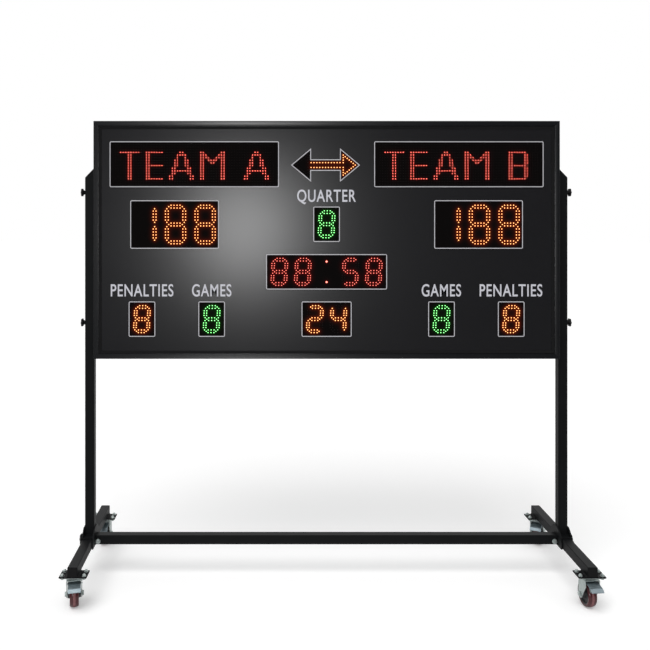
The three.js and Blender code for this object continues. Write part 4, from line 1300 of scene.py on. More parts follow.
@dataclass
class Electronics:
    """What is fixed to the rear cover: supply, controller, horn, and the inlet with its rocker switch."""

    flange: float = 2 * MM
    flange_round: float = 3 * MM
    body_size: Point = (48 * MM, 26 * MM)
    body_round: float = 1.5 * MM
    cavity_size: Point = (24 * MM, 16.5 * MM)
    cavity_cut: float = 4.5 * MM
    cavity_round: float = 1.2 * MM
    cavity_x: float = -11 * MM
    cavity_depth: float = 17 * MM
    well_size: Point = (11.2 * MM, 19.2 * MM)
    well_round: float = 0.8 * MM
    well_x: float = 13 * MM
    well_depth: float = 9 * MM
    blade: Point = (2 * MM, 4 * MM)
    blade_round: float = 0.4 * MM
    blade_root: float = 1 * MM
    blade_length: float = 10 * MM
    blade_spread: float = 7 * MM
    blade_lift: float = 3 * MM
    rocker_width: float = 10 * MM
    rocker_half: float = 9 * MM
    rocker_depth: float = 6 * MM
    rocker_rise: float = 3 * MM
    rocker_dip: float = 1.2 * MM
    rocker_round: float = 0.8 * MM
    rocker_tilt: float = 9.0
    mark_half: float = 1.6 * MM
    mark_bore: float = 1.1 * MM
    mark_bar_half: float = 0.3 * MM
    mark_sink: float = 0.2 * MM
    mark_rise: float = 0.06 * MM

    def inlet(self) -> None:
        """The inlet: a flange and housing with a socket, three blades and the rocker's well."""
        low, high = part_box("power_inlet")
        centre = (low + high) / 2
        place = at(centre.x, high.y, centre.z, Lie.BACK)
        half_w, half_h, cut = self.cavity_size[0] / 2, self.cavity_size[1] / 2, self.cavity_cut
        corners = [(half_w, -half_h), (half_w, half_h - cut), (half_w - cut, half_h)]
        socket = [(x - self.cavity_x, z) for x, z in softened(both_sides(corners), self.cavity_round)]
        well = round_rect(*self.well_size, self.well_round, (-self.well_x, 0.0))
        outer = round_rect(high.x - low.x, high.z - low.z, self.flange_round)
        body = round_rect(*self.body_size, self.body_round)
        form = Form(NYLON).plate([outer, socket, well], -self.flange, 0.0, place, edge=0.5 * MM, steps=2)
        form.plate([body, socket, well], -self.well_depth, -self.flange, place)
        form.plate([body, socket], -self.cavity_depth, -self.well_depth, place)
        form.plate([body], low.y - high.y, -self.cavity_depth, place)
        root, tip = -self.cavity_depth - self.blade_root, self.blade_length - self.cavity_depth
        for side in (-1, 0, 1):
            spot = (side * self.blade_spread - self.cavity_x, -self.blade_lift if side else self.blade_lift)
            blade = round_rect(*self.blade, self.blade_round, spot, steps=2)
            form.plate([blade], root, tip, place, edge=self.blade_round, finish=NICKEL)
        form.piece("power_inlet_housing", replaces=("power_inlet",), slot="black_plastic")

    def rocker(self) -> None:
        """The rocker with its two plain marks, a bar and a ring, on the face of each half."""
        high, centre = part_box("power_inlet")[1], middle("power_inlet")
        half, rise, dip = self.rocker_half, self.rocker_rise, self.rocker_dip
        outline = both_ends([(-self.rocker_depth, -half / 2), (0.0, -half), (rise, -half)], (dip, 0.0))
        shape = softened(outline, self.rocker_round, steps=3)
        tilt = Matrix.Rotation(math.radians(self.rocker_tilt), 4, "X")
        form = Form(NYLON, Matrix.Translation((centre.x + self.well_x, high.y, centre.z)) @ tilt)
        wide = self.rocker_width / 2
        form.plate([shape], -wide, wide, at(lie=Lie.SIDE), edge=0.5 * MM, steps=2)
        slope = math.atan2(rise - dip, half)
        ring = [circle(self.mark_half, sides=20), circle(self.mark_bore, sides=20)]
        bar = [rectangle(-self.mark_bar_half, -self.mark_half, self.mark_bar_half, self.mark_half)]
        for side, mark in ((1, ring), (-1, bar)):
            spot = Matrix.Translation((0, (rise + dip) / 2, side * half / 2))
            lean = Matrix.Rotation(-side * slope, 4, "X") @ at(lie=Lie.BACK)
            form.plate(mark, -self.mark_sink, self.mark_rise, spot @ lean, finish=CAPTION_INK)
        form.piece("rocker_switch_cap", "rocker", ("rocker_switch",), "black_plastic")

    def build(self) -> None:
        """Builds the inlet and rocker, and dresses what is inside."""
        self.inlet()
        self.rocker()
        dress("power_supply", CASE_SHEET)
        dress("controller_board", SOLDER_RESIST)
        dress("horn", NYLON)


# Stand


@dataclass
class Stand:
    """Posts with their caps, saddles, feet and crossbar, all of black coated square tube and plate."""

    tube: float = 40 * MM
    wall: float = 2 * MM
    tube_round: float = 3.2 * MM
    bore_round: float = 1.2 * MM
    post_cut: float = 42 * MM
    cap_thick: float = 2.5 * MM
    cap_gap: float = 0.3 * MM
    plate_size: Point = (110 * MM, 67 * MM)
    plate_thick: float = 4 * MM
    plate_round: float = 4 * MM
    bolt_place: Point = (43 * MM, 20 * MM)
    bolt_hole: float = 4.6 * MM
    plug_seam: float = 0.35 * MM
    plug_inset: float = 0.4 * MM
    plug_depth: float = 12 * MM
    cheek_length: float = 140 * MM
    cheek_shoulder: float = 126 * MM
    cheek_neck: float = 44 * MM
    cheek_wall: float = 5 * MM
    cheek_rise: float = 30 * MM
    cheek_drop: float = 2.5 * MM
    cheek_round: float = 4 * MM
    cheek_gap: float = 0.3 * MM
    stud_hole: float = 4.3 * MM
    cheek_bolt_y: float = 52 * MM
    cheek_bolt_radius: float = 9 * MM
    cheek_bolt_seat: float = 1.2 * MM
    cheek_bolt_head: float = 8 * MM
    cheek_bolt_sink: float = 0.3 * MM
    cheek_washer: Point = (10.08 * MM, 1.4 * MM)
    web_round: float = 1 * MM
    stub_gap: float = 0.3 * MM
    stub_wall: float = 3 * MM
    stub_round: float = 2 * MM
    stub_up: float = 60 * MM
    stub_across: float = 70 * MM
    bolt_radius: float = 5 * MM
    bolt_gap: float = 0.3 * MM
    washer: Point = (10.5 * MM, 2 * MM)
    head_radius: float = 9.5 * MM
    head_thick: float = 7 * MM
    weld_width: float = 4.5 * MM
    weld_pitch: float = 5 * MM
    weld_inset: float = 1 * MM
    weld_ripple: float = 0.16
    weld_end: float = 0.45
    weld_crown: Point = (0.62, 0.52)
    weld_sink: Point = (0.2 * MM, 0.1 * MM)

    def section(self) -> list[Loop]:
        """The square tube's outer and inner outlines."""
        bore = self.tube - 2 * self.wall
        return [square(self.tube, self.tube_round, steps=7), square(bore, self.bore_round, steps=4)]

    def slanted(self, form: Form, side: int, top: float) -> None:
        """Lowers what stands at the top of a post to its slanted cut.

        Args:
            form: The post or its cap.
            side: Which side it is on.
            top: Points from this height up are lowered.
        """
        centre = middle("post_right").x * side
        for point in form.points:
            if point.z >= top:
                point.z -= self.post_cut / self.tube * (side * (point.x - centre) + self.tube / 2)

    def post(self, side: int, name: str) -> None:
        """One post and its cap.

        Args:
            side: Which side it is on.
            name: That side's name.
        """
        low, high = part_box(f"post_{name}")
        centre = (low + high) / 2
        place = at(centre.x, centre.y)
        form = Form(POWDER_COAT).plate(self.section(), low.z, high.z, place, edge=0.3 * MM)
        self.slanted(form, side, centre.z)
        form.piece(f"post_{name}_tube", replaces=(f"post_{name}",), slot="stand_tube")
        base, lid = high.z + self.cap_gap, self.section()[:1]
        cap = Form(NYLON).plate(lid, base, base + self.cap_thick, place, edge=1.1 * MM, steps=3)
        bore = self.tube - 2 * self.wall - 2 * self.cap_gap
        cap.plate([square(bore, self.bore_round)], base - self.plug_depth, base, place)
        self.slanted(cap, side, low.z)
        cap.piece(f"post_cap_{name}_moulding", replaces=(f"post_cap_{name}",), slot="black_plastic")

    def foot(self, name: str) -> None:
        """One foot: its tube, end plugs, mounting plates and the welds between them.

        Args:
            name: The name of its side.
        """
        low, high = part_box(f"foot_{name}")
        x, z = (low.x + high.x) / 2, high.z - self.tube / 2
        along = at(x, 0, z, Lie.FRONT)
        form = Form(POWDER_COAT).plate(self.section(), low.y, high.y, along, edge=0.4 * MM)
        bore = self.tube - 2 * self.wall - 2 * self.plug_seam
        bolt_x, bolt_y = self.bolt_place
        holes = [
            circle(self.bolt_hole, sides=20, centre=(end_x * bolt_x, end_y * bolt_y))
            for end_x in (-1, 1) for end_y in (-1, 1)
        ]
        sheet = [round_rect(*self.plate_size, self.plate_round), *holes]
        outer = high.y - self.plug_inset
        for end in (-1, 1):
            y = end * (high.y - self.plate_size[1] / 2)
            form.plate(sheet, low.z, low.z + self.plate_thick, at(x, y), edge=0.5 * MM)
            stretch = mirrored(-end, outer - self.plug_depth, outer)
            form.plate([square(bore, self.bore_round)], *stretch, along, edge=0.8 * MM, steps=2, finish=NYLON)
            self.weld(form, x, y, low.z + self.plate_thick)
        form.piece(f"foot_{name}_tube", replaces=(f"foot_{name}",), slot="stand_tube")

    def weld(self, form: Form, x: float, y: float, z: float) -> None:
        """A bead of weld along each side of the tube on a mounting plate, rippled as it was laid.

        Args:
            form: The foot.
            x: The middle of the plate across.
            y: Its middle along the foot.
            z: Its top.
        """
        length = self.plate_size[1] - 2 * self.weld_inset
        count = round(self.plate_size[1] / self.weld_pitch) * 4
        crown_out, crown_up = self.weld_crown
        inward, under = self.weld_sink
        for side in (-1, 1):
            inner = x + side * (self.tube / 2 - inward)
            points = []
            for i in range(count + 1):
                along = y - length / 2 + i * length / count
                ripple = 1 - self.weld_ripple * abs(math.sin(math.pi * i / 4))
                size = self.weld_width * ripple * (self.weld_end if i in (0, count) else 1.0)
                points += [
                    Vector((inner, along, z - under)), Vector((inner + side * size, along, z - under)),
                    Vector((inner + side * size * crown_out, along, z + size * crown_up)),
                    Vector((inner, along, z + size)),
                ]
            faces: list[Face] = [(3, 2, 1, 0), tuple(4 * count + i for i in range(4))]
            for start in range(0, 4 * count, 4):
                for i, nxt in ((0, 1), (1, 2), (2, 3), (3, 0)):
                    faces.append((start + i, start + nxt, start + 4 + nxt, start + 4 + i))
            form.add(points, faces if side < 0 else [face[::-1] for face in faces], Matrix())

    def saddle(self, side: int, name: str) -> None:
        """One saddle: two cheeks with their bolts, the web, and the stubs inside post and crossbar.

        Args:
            side: Which side it is on.
            name: That side's name.
        """
        foot_low, foot_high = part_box(f"foot_{name}")
        foot_mid = foot_high.z - self.tube / 2
        low = foot_high.z - self.tube - self.cheek_drop
        shoulder = foot_high.z + self.cheek_gap + self.cheek_wall
        half, neck, waist = self.cheek_length / 2, self.cheek_neck / 2, self.cheek_shoulder / 2
        right = [(half, low), (half, foot_mid), (waist, shoulder), (neck, shoulder + self.cheek_rise)]
        hole = circle(self.stud_hole, sides=20, centre=(0.0, foot_mid))
        cheek = [softened(both_sides(right), self.cheek_round), hole]
        inner = self.tube / 2 + self.cheek_gap
        outer = inner + self.cheek_wall
        form = Form(POWDER_COAT, outward(side, (foot_low.x + foot_high.x) / 2))
        radius, washer_thick = self.cheek_washer
        for end in (-1, 1):
            form.plate(cheek, *mirrored(end, inner, outer), at(lie=Lie.SIDE), edge=0.6 * MM, steps=2)
            spot = at(outer - self.cheek_bolt_sink, end * self.cheek_bolt_y, foot_mid, Lie.SIDE)
            form.hexagon(self.cheek_bolt_radius, self.cheek_bolt_seat, self.cheek_bolt_head, spot)
            form.rod(radius, 0.0, washer_thick, spot, edge=0.3 * MM)
        web = round_rect(2 * inner, self.cheek_shoulder, self.web_round)
        form.plate([web], shoulder - self.cheek_wall, shoulder, at(), edge=0.4 * MM)
        outside = self.tube - 2 * self.wall - 2 * self.stub_gap
        stub = [square(outside, self.stub_round), square(outside - 2 * self.stub_wall, self.stub_round / 2)]
        form.plate(stub, shoulder, shoulder + self.stub_up, at())
        form.plate(stub, -outer - self.stub_across, -outer, at(0, 0, foot_mid, Lie.SIDE))
        form.piece(f"saddle_{name}_bracket", replaces=(f"saddle_{name}",), slot="stand_tube")

    def crossbar(self) -> None:
        """The crossbar and its two zinc plated bolts with washers and nuts."""
        low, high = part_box("crossbar")
        place = at(0, 0, (low.z + high.z) / 2, Lie.SIDE)
        form = Form(POWDER_COAT).plate(self.section(), low.x, high.x, place, edge=0.3 * MM)
        form.piece("crossbar_tube", replaces=("crossbar",), slot="stand_tube")
        seat = self.tube / 2 + self.bolt_gap
        head = seat + self.washer[1] + self.head_thick
        for _, name in SIDES:
            node = f"crossbar_bolt_{name}"
            centre = middle(node)
            bolt = Form(ZINC_PLATE).rod(self.bolt_radius, -seat, seat, at(centre.x, 0, centre.z, Lie.FRONT))
            for lie in (Lie.FRONT, Lie.BACK):
                spot = at(centre.x, 0, centre.z, lie)
                bolt.nut(self.head_radius, self.washer, seat, head, spot, edge=0.4 * MM)
            bolt.piece(f"{node}_set", replaces=(node,), slot="zinc")

    def build(self) -> None:
        """Builds both sides and the crossbar."""
        for side, name in SIDES:
            self.post(side, name)
            self.foot(name)
            self.saddle(side, name)
        self.crossbar()


@dataclass
class ClampKnobs:
    """Six star knobs of phenolic resin on zinc plated studs."""

    radius: float = 18.5 * MM
    lobe: float = 1.6 * MM
    lobes: int = 6
    star_steps: int = 72
    sides: int = 36
    thick: float = 14 * MM
    edge: float = 2.6 * MM
    taper: float = 6 * MM
    neck_radius: float = 7 * MM
    neck: float = 5 * MM
    neck_edge: float = 1 * MM
    neck_share: float = 0.4
    overlap: float = 0.5 * MM
    dish_radius: float = 8.5 * MM
    dish_depths: tuple[float, float, float] = (4 * MM, 2.4 * MM, 1.6 * MM)
    dish_edge: float = 1 * MM
    stud_radius: float = 4 * MM

    def build(self) -> None:
        """Builds every knob in the place of its node."""
        for side, name in SIDES:
            for node in (f"board_knob_{name}_lower", f"board_knob_{name}_upper", f"foot_knob_{name}"):
                self.knob(node, side)

    def knob(self, node: str, side: int) -> None:
        """One knob: a lobed head, dished in front, on a turned neck and a stud.

        Args:
            node: The node that it stands for, and the body that it rides on.
            side: Which side of the object it is on.
        """
        low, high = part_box(node)
        centre = (low + high) / 2
        top, back = self.neck + self.thick, self.neck + self.taper
        seat = (high.x if side > 0 else low.x) - side * top
        stud = abs((low.x if side > 0 else high.x) - seat)
        star = []
        for i in range(self.star_steps):
            turn = 2 * math.pi * i / self.star_steps
            reach = self.radius - self.lobe * (1 - math.cos(self.lobes * turn))
            star.append((reach * math.cos(turn), reach * math.sin(turn)))
        lie = at(lie=Lie.SIDE)
        form = Form(PHENOLIC, outward(side, seat, centre.y, centre.z))
        form.plate([star, circle(self.dish_radius, self.sides)], back, top, lie, edge=self.edge, steps=4)
        wall, curb, floor = self.dish_depths
        inner = self.dish_radius - self.dish_edge
        dish = [(self.dish_radius + self.edge, back), (self.dish_radius, top - wall), (inner, top - curb)]
        form.turned([(0, back), *dish, (0, top - floor)], lie, self.sides)
        waist, rise = self.radius - 2 * self.lobe - self.edge, back + self.overlap
        neck = [
            (self.neck_radius - self.neck_edge, 0), (self.neck_radius, self.neck_edge),
            (self.neck_radius, self.neck * self.neck_share), (waist, rise),
        ]
        form.turned([(0, 0), *neck, (0, rise)], lie, self.sides)
        form.rod(self.stud_radius, -stud, self.overlap, lie, finish=ZINC_PLATE)
        form.piece(f"{node}_star", node, (node,), "black_plastic")


@dataclass
class Casters:
    """Four braked casters, built at the king pin and turned to their headings.

    Each field named curve holds the points of a turned edge: how far a point is from the part's radius, and
    how far along the axis it is from the edge's corner, or on the wheel from the wheel's middle.
    """

    headings: tuple[tuple[str, float], ...] = (
        ("front_left", 13.0), ("front_right", 5.0), ("rear_right", -28.0), ("rear_left", 2.0),
    )
    height: float = 130 * MM
    clearance: float = 0.6 * MM
    plate_size: Point = (102 * MM, 63 * MM)
    plate_round: float = 7 * MM
    plate_thick: float = 3 * MM
    slot_size: Point = (13 * MM, 9 * MM)
    slot_round: float = 4.45 * MM
    bolt_place: Point = (43 * MM, 20 * MM)
    bolt_radius: float = 4 * MM
    hex_radius: float = 7.4 * MM
    nut_washer: Point = (8.51 * MM, 1.2 * MM)
    nut_seat: float = 134.6 * MM
    nut_thick: float = 6.5 * MM
    bolt_tip: float = 3 * MM
    bolt_head: float = 5 * MM
    race_radius: float = 26 * MM
    race_height: float = 6 * MM
    race_curve: tuple[Point, ...] = ((7 * MM, 0.0), (3 * MM, 0.9 * MM), (0.8 * MM, 2.4 * MM), (0.0, 4.2 * MM))
    king_radius: float = 7 * MM
    king_head: float = 12 * MM
    king_thick: float = 4 * MM
    king_overlap: float = 1 * MM
    king_curve: tuple[Point, ...] = ((3 * MM, 0.0), (0.8 * MM, 1 * MM), (0.0, 2.4 * MM), (0.0, 4 * MM))
    fork_top: float = 120.4 * MM
    fork_wall: float = 3 * MM
    fork_inner: float = 54 * MM
    fork_reach: float = 27 * MM
    lower_race_gap: float = 1.6 * MM
    lower_race_curve: tuple[Point, ...] = (
        (0.0, 0.0), (0.0, 1.5 * MM), (3 * MM, 4.5 * MM), (8 * MM, 4.5 * MM), (11 * MM, 2 * MM),
        (11.5 * MM, 0.0),
    )
    leg_foot: float = 15 * MM
    leg_turn: float = 22.0
    leg_rim: float = 3.2 * MM
    leg_rim_sink: float = 0.3 * MM
    leg_rim_rise: float = 0.7 * MM
    wheel_radius: float = 50 * MM
    wheel_width: float = 36 * MM
    tyre_thick: float = 11 * MM
    tyre_crown: float = 5.4 * MM
    tyre_sweep: float = 82.0
    tyre_steps: int = 14
    tyre_share: float = 0.98
    tyre_inset: float = 1.5 * MM
    band_rise: float = 0.15 * MM
    band_curve: tuple[Point, ...] = ((2 * MM, 5.5 * MM), (0.6 * MM, 5.5 * MM), (0.05 * MM, 3.3 * MM))
    hub_width: float = 52 * MM
    hub_radius: float = 15 * MM
    hub_curve: tuple[Point, ...] = ((1 * MM, 25 * MM), (3 * MM, 12 * MM), (8 * MM, 9 * MM))
    rim_curve: tuple[Point, ...] = ((5 * MM, 9 * MM), (3 * MM, 15 * MM), (0.0, 16 * MM))
    bush_wall: float = 3 * MM
    bush_proud: float = 0.2 * MM
    trail: float = 16 * MM
    axle_radius: float = 6 * MM
    axle_gap: float = 0.3 * MM
    axle_hex: float = 9.5 * MM
    axle_hex_thick: float = 7 * MM
    axle_washer: Point = (10.83 * MM, 1.4 * MM)
    pedal_width: float = 50 * MM
    pedal_thick: float = 2.5 * MM
    pedal_reach: float = 70 * MM
    pedal_fall: float = 14 * MM
    pedal_shares: tuple[Point, ...] = ((0.0, 0.0), (0.5, 0.1), (0.85, 0.45), (1.0, 1.2))
    pedal_round: float = 2.2 * MM
    rib_stretch: Point = (4.5 * MM, 1.5 * MM)
    rib_rise: float = 1.6 * MM
    pivot_forward: float = 14 * MM
    pivot_drop: float = 27 * MM
    pin_radius: float = 3 * MM
    pin_proud: float = 1.9 * MM
    shoe_width: float = 28 * MM
    shoe_gap: float = 6.5 * MM
    shoe_depth: float = 5 * MM
    shoe_stretch: Point = (142.0, 152.0)

    def top_plate(self, name: str, base: Matrix) -> None:
        """The top plate with its slots, bolts, nuts, ball race and king pin.

        Args:
            name: Which caster.
            base: Where its king pin meets the floor.
        """
        spots = [(x * self.bolt_place[0], y * self.bolt_place[1]) for x in (-1, 1) for y in (-1, 1)]
        sheet = [round_rect(*self.plate_size, self.plate_round)]
        sheet += [round_rect(*self.slot_size, self.slot_round, spot) for spot in spots]
        under = self.height - self.plate_thick
        form = Form(ZINC_PLATE, base).plate(sheet, under, self.height, at(), edge=0.6 * MM, steps=2)
        race, rim = under - self.race_height, self.race_radius
        edge = [(rim - back, race + up) for back, up in self.race_curve]
        form.turned([(0, race), *edge, (rim, under), (0, under)], at(), sides=48)
        low = self.fork_top - self.fork_wall - self.clearance - self.king_thick
        pin = [(self.king_radius, low + self.king_thick), (self.king_radius, race + self.king_overlap)]
        edge = [(self.king_head - back, low + up) for back, up in self.king_curve]
        form.turned([(0, low), *edge, *pin, (0, race + self.king_overlap)], at(), sides=32)
        nut_top = self.nut_seat + self.nut_thick
        for x, y in spots:
            form.hexagon(self.hex_radius, under - self.bolt_head, under, at(x, y))
            form.rod(self.bolt_radius, under, nut_top + self.bolt_tip, at(x, y), edge=0.8 * MM)
            form.nut(self.hex_radius, self.nut_washer, self.nut_seat, nut_top, at(x, y))
        form.piece(f"caster_plate_{name}_pressing", BOARD_BODY, (f"caster_plate_{name}",), "zinc")

    def leg_outline(self) -> Loop:
        """A fork leg's outline, from the crown back and down to the round end about the axle.

        Returns:
            The closed outline.
        """
        knee, top = self.fork_top - self.fork_reach, self.fork_top - self.fork_wall
        back, front = -self.fork_reach, self.fork_reach
        axle, start = (self.trail, self.wheel_radius), 180 + self.leg_turn
        foot = arc(axle, self.leg_foot, start, start + 180, steps=16)
        return [(back, top), (back, knee), *foot, (front + self.fork_wall, knee), (front, top)]

    def fork(self, name: str, base: Matrix) -> None:
        """The pressed fork: a crown, two bent legs with a raised rim, and the lower ball race.

        Args:
            name: Which caster.
            base: Where its king pin meets the floor, turned to its heading.
        """
        form = Form(ZINC_PLATE, base)
        inner, wall, reach = self.fork_inner / 2, self.fork_wall, self.fork_reach
        under, outer = self.fork_top - wall, inner + wall
        hole = circle(self.king_radius + self.clearance, sides=28)
        form.plate([rectangle(-inner, -reach, inner, reach), hole], under, self.fork_top, at())
        start = self.king_head + self.lower_race_gap
        race = [(start + out, under - down) for out, down in self.lower_race_curve]
        form.turned(race, at(), sides=40, closed=True)
        leg, side_on = self.leg_outline(), at(lie=Lie.SIDE)
        axle = circle(self.axle_radius + self.clearance, sides=28, centre=(self.trail, self.wheel_radius))
        pivot = (-self.pivot_forward, self.height - self.pivot_drop)
        pin = circle(self.pin_radius + self.clearance, sides=20, centre=pivot)
        rim_low, rim_high = outer - self.leg_rim_sink, outer + self.leg_rim_rise
        for side in (-1, 1):
            form.plate([leg, axle, pin], *mirrored(side, inner, outer), side_on, edge=0.4 * MM)
            rim = [leg, inset(leg, self.leg_rim)]
            form.plate(rim, *mirrored(side, rim_low, rim_high), side_on, edge=0.45 * MM, steps=2)
            centre, start_turn = (side * inner, under), 0 if side > 0 else 90
            bend = [centre, *arc(centre, wall, start_turn, start_turn + 90, steps=6)]
            form.plate([bend], -reach, reach, at(lie=Lie.FRONT))
        node = f"caster_fork_{name}"
        form.piece(f"{node}_pressing", f"swivel_{name}", (node,), "zinc", smooth=30)

    def wheel(self, name: str, base: Matrix) -> None:
        """The wheel: a cast tyre on a moulded core with a steel bush.

        Args:
            name: Which caster.
            base: Where its king pin meets the floor, turned to its heading.
        """
        radius, half = self.wheel_radius, self.wheel_width / 2
        place = at(0, self.trail, radius, Lie.SIDE)
        top, seat = radius - self.band_rise, radius - self.tyre_thick
        tyre = [(seat, self.tyre_inset - half)]
        for i in range(self.tyre_steps + 1):
            turn = math.radians(self.tyre_sweep * (2 * i / self.tyre_steps - 1))
            fall = self.tyre_crown * (1 - math.cos(turn))
            tyre.append((top - fall, half * math.sin(turn) * self.tyre_share))
        tyre.append((seat, half - self.tyre_inset))
        form = Form(POLYURETHANE, base).turned(tyre, place, sides=72, closed=True)
        # A pale band down the middle of the tread: wear, and a painted highlight along its crown.
        lower = [(radius - fall, -wide) for fall, wide in self.band_curve]
        form.turned(both_ends(lower, (radius, 0.0)), place, sides=72, closed=True, finish=WORN_HIGHLIGHT_POLYURETHANE)
        bore, end = self.axle_radius + self.clearance, self.hub_width / 2
        lower = [(bore + self.bush_wall, -end), (self.hub_radius, -end)]
        lower += [(self.hub_radius + out, -wide) for out, wide in self.hub_curve]
        lower += [(seat - back, -wide) for back, wide in self.rim_curve]
        form.turned(both_ends(lower), place, sides=56, closed=True, finish=POLYPROPYLENE)
        end += self.bush_proud
        bush = both_ends([(bore, -end), (bore + self.bush_wall, -end)])
        form.turned(bush, place, sides=32, closed=True, finish=ZINC_PLATE)
        form.piece(f"caster_wheel_{name}_cast", f"wheel_{name}", (f"caster_wheel_{name}",), "tread")

    def axle(self, name: str, base: Matrix) -> None:
        """The axle bolt, its head and nut outside the fork.

        Args:
            name: Which caster.
            base: Where its king pin meets the floor, turned to its heading.
        """
        outer = self.fork_inner / 2 + self.fork_wall + self.axle_gap
        place = at(0, self.trail, self.wheel_radius, Lie.SIDE)
        end = outer + self.axle_hex_thick
        form = Form(ZINC_PLATE, base).rod(self.axle_radius, -outer, end, place, edge=0.8 * MM)
        for side in (-1, 1):
            form.nut(self.axle_hex, self.axle_washer, outer, end, place, side)
        form.piece(f"caster_axle_{name}_bolt", f"swivel_{name}", (f"caster_axle_{name}",), "zinc")

    def pedal(self, name: str, base: Matrix) -> None:
        """The brake pedal: a bent pressing with ribs, on its pin, with the shoe that meets the tyre.

        Args:
            name: Which caster.
            base: Where its king pin meets the floor, turned to its heading.
        """
        # The pedal is made in the darker copy of the zinc plate: painted shade.
        form, side_on = Form(SHADED_ZINC_PLATE, base), at(lie=Lie.SIDE)
        pivot_y, pivot_z = -self.pivot_forward, self.height - self.pivot_drop
        under = pivot_z + self.pin_radius
        reach, fall = self.pedal_reach, self.pedal_fall
        near = [Vector((-out * reach, under - down * fall)) for out, down in self.pedal_shares]
        far = []
        for i, point in enumerate(near):
            first = (point - near[i - 1]).normalized() if i else (near[1] - point).normalized()
            second = (near[i + 1] - point).normalized() if i + 1 < len(near) else first
            along = (first + second).normalized()
            far.append(point + Vector((along.y, -along.x)) * (self.pedal_thick / along.dot(first)))
        loop = softened([tuple(point) for point in near + far[::-1]], self.pedal_round)
        half = self.pedal_width / 2
        form.plate([loop], -half, half, side_on, edge=0.7 * MM, steps=2)
        rise = Vector((0, self.rib_rise))
        rib = [tuple(point) for point in (far[1], far[2], far[2] + rise, far[1] + rise)]
        for side in (-1, 1):
            stretch = mirrored(side, half - self.rib_stretch[0], half - self.rib_stretch[1])
            form.plate([rib], *stretch, side_on, edge=0.5 * MM)
        pin = self.fork_inner / 2 + self.fork_wall + self.pin_proud
        pivot = at(0, pivot_y, pivot_z, Lie.SIDE)
        form.rod(self.pin_radius, -pin, pin, pivot, edge=0.8 * MM, finish=ZINC_PLATE)
        axle, near_tyre = (self.trail, self.wheel_radius), self.wheel_radius + self.shoe_gap
        start, end = self.shoe_stretch
        top = under + self.pedal_thick / 2
        shoe = arc(axle, near_tyre, start, end, steps=4)
        shoe += arc(axle, near_tyre + self.shoe_depth, end, end, steps=1)[:1]
        shoe += [(pivot_y - self.pin_radius, top), (pivot_y + self.pin_radius, top)]
        wide = self.shoe_width / 2
        form.plate([shoe], -wide, wide, side_on, edge=0.5 * MM, finish=ZINC_PLATE)
        form.piece(f"caster_pedal_{name}_pressing", f"pedal_{name}", (f"caster_pedal_{name}",), "zinc")

    def build(self) -> None:
        """Builds the four casters."""
        for name, heading in self.headings:
            centre = middle(f"caster_plate_{name}")
            stand = Matrix.Translation((centre.x, centre.y, 0))
            swivel = stand @ Matrix.Rotation(math.radians(heading), 4, "Z")
            self.top_plate(name, stand)
            for part in (self.fork, self.wheel, self.axle, self.pedal):
                part(name, swivel)


# Studio


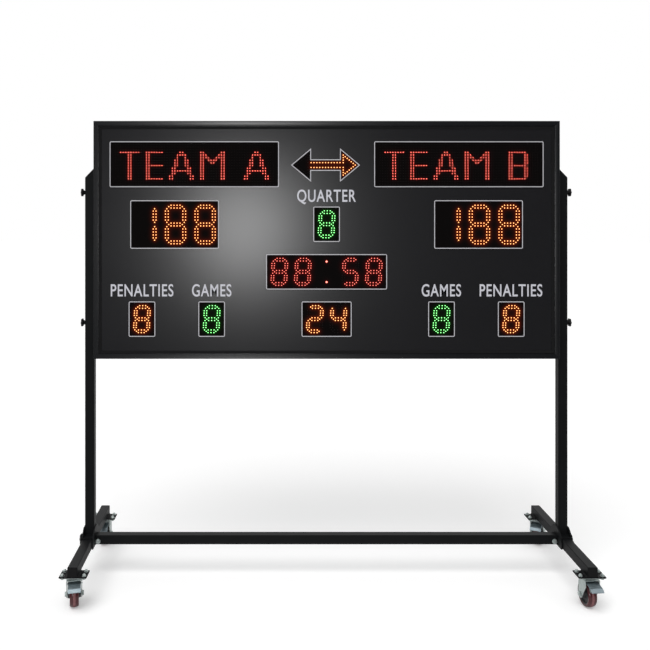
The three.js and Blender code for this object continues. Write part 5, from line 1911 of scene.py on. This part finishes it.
@dataclass
class Studio:
    """The camera, the pale floor, the white surroundings and the lamps."""

    camera_place: tuple[float, float, float] = (-0.2720, -3.4837, 1.5742)
    lens: float = 44.51
    sensor: float = 36.0
    shift: Point = (0.0951, -0.1762)
    floor_radius: float = 40.0
    floor_colour: str = "#f4f4f4"
    floor_lift: float = 0.22
    world_level: float = 0.5
    sun_level: float = 1.5
    sun_width: float = 40.0
    sun_turn: Point = (28.0, -14.0)
    front_level: float = 87.0
    front_place: tuple[float, float, float] = (-0.50, -6.4, 1.37)
    front_size: Point = (1.05, 1.2)
    cloth_colour: str = "#0c0c0c"
    flag_wall: tuple[float, float, float, float] = (-14.0, -2.0, 14.0, 14.0)
    flag_distance: float = 7.2
    flag_carpet: tuple[float, float, float, float] = (-9.0, -7.2, 9.0, -0.75)
    carpet_rise: float = 2 * MM

    def place(self, name: str, data: bpy.types.ID, *materials: bpy.types.Material) -> bpy.types.Object:
        """Puts a camera, a lamp or a mesh into the scene.

        Args:
            name: Its name.
            data: What it is.
            materials: What a mesh is made of.

        Returns:
            The object, at the origin.
        """
        made = bpy.data.objects.new(name, data)
        bpy.context.scene.collection.objects.link(made)
        for material in materials:
            data.materials.append(material)
        return made

    def camera(self) -> None:
        """The camera at the photograph's angle, level, with the framing's shift."""
        data = bpy.data.cameras.new("camera")
        data.lens, data.sensor_width = self.lens, self.sensor
        data.shift_x, data.shift_y = self.shift
        view = self.place("camera", data)
        view.location = self.camera_place
        view.rotation_euler = (math.radians(90), 0, 0)
        bpy.context.scene.camera = view

    def world(self) -> None:
        """Even pale light, and plain white for what is seen directly, in gloss or through glass."""
        world = bpy.data.worlds.new("studio")
        bpy.context.scene.world = world
        world.use_nodes = True
        tree = world.node_tree
        tree.nodes.clear()
        path = add_node(tree, "ShaderNodeLightPath").outputs
        shown = path["Is Camera Ray"]
        for ray in ("Is Glossy Ray", "Is Transmission Ray"):
            shown = add_node(tree, "ShaderNodeMath", {0: shown, 1: path[ray]}, operation="MAXIMUM").outputs[0]
        light, white = [
            add_node(tree, "ShaderNodeBackground", Color=linear("#ffffff"), Strength=level).outputs[0]
            for level in (self.world_level, 1.0)
        ]
        mixed = add_node(tree, "ShaderNodeMixShader", {0: shown, 1: light, 2: white})
        add_node(tree, "ShaderNodeOutputWorld", {"Surface": mixed.outputs[0]})

    def floor(self) -> None:
        """A pale painted floor, lifted to white for the camera but keeping the object's shadow."""
        material = bpy.data.materials.new("painted_studio_floor")
        material.use_nodes = True
        tree = material.node_tree
        tree.nodes.clear()
        path = add_node(tree, "ShaderNodeLightPath").outputs["Is Camera Ray"]
        lift = add_node(tree, "ShaderNodeMath", {0: path}, operation="MULTIPLY")
        lift.inputs[1].default_value = self.floor_lift
        shader = add_node(
            tree, "ShaderNodeBsdfPrincipled", {"Emission Strength": lift.outputs[0]}, Specular_IOR_Level=0.0,
            Base_Color=linear(self.floor_colour), Roughness=0.9, Emission_Color=linear("#ffffff"),
        )
        add_node(tree, "ShaderNodeOutputMaterial", {"Surface": shader.outputs["BSDF"]})
        mesh = bpy.data.meshes.new("floor")
        loop = circle(self.floor_radius, sides=64)
        mesh.from_pydata([(x, y, 0.0) for x, y in loop], [], [tuple(range(len(loop)))])
        self.place("floor", mesh, material)

    def flags(self) -> None:
        """Black cloth behind the camera and on the floor before the object, seen only in gloss.

        They keep the panel's sheen as dark as in the photograph, where a dim hall lay in front of it.
        """
        material = bpy.data.materials.new("black_cloth_flag")
        material.use_nodes = True
        shader = material.node_tree.nodes["Principled BSDF"]
        shader.inputs["Base Color"].default_value = linear(self.cloth_colour)
        shader.inputs["Specular IOR Level"].default_value = 0.0
        wall = [(x, -self.flag_distance, z) for x, z in rectangle(*self.flag_wall)]
        carpet = [(x, y, self.carpet_rise) for x, y in rectangle(*self.flag_carpet)]
        for name, corners in (("flag_wall", wall), ("flag_carpet", carpet)):
            mesh = bpy.data.meshes.new(name)
            mesh.from_pydata(corners, [], [(0, 1, 2, 3)])
            flag = self.place(name, mesh, material)
            flag.visible_camera = flag.visible_diffuse = False
            flag.visible_shadow = flag.visible_transmission = False

    def lamps(self) -> None:
        """A broad soft sun from above and in front, and a small soft lamp near the camera's line."""
        sun = bpy.data.lights.new("overhead", "SUN")
        sun.energy, sun.angle = self.sun_level, math.radians(self.sun_width)
        high = self.place("overhead", sun)
        high.rotation_euler = (*[math.radians(turn) for turn in self.sun_turn], 0)
        front = bpy.data.lights.new("front", "AREA")
        front.shape, front.energy = "ELLIPSE", self.front_level
        front.size, front.size_y = self.front_size
        near = self.place("front", front)
        near.location = self.front_place
        near.rotation_euler = (math.radians(90), 0, 0)
        near.visible_camera = False

    def build(self) -> None:
        """Sets up the whole studio."""
        for step in (self.camera, self.world, self.floor, self.flags, self.lamps):
            step()
        bpy.context.scene.view_settings.view_transform = "Standard"


def main() -> None:
    """Builds the studio and every sub-assembly."""
    logging.basicConfig(level=logging.INFO, format="%(message)s")
    Studio().build()
    for part in (BoardCase(), Displays(), Electronics(), Stand(), ClampKnobs(), Casters()):
        LOG.info("%s", type(part).__name__)
        part.build()


if __name__ == "__main__":
    main()
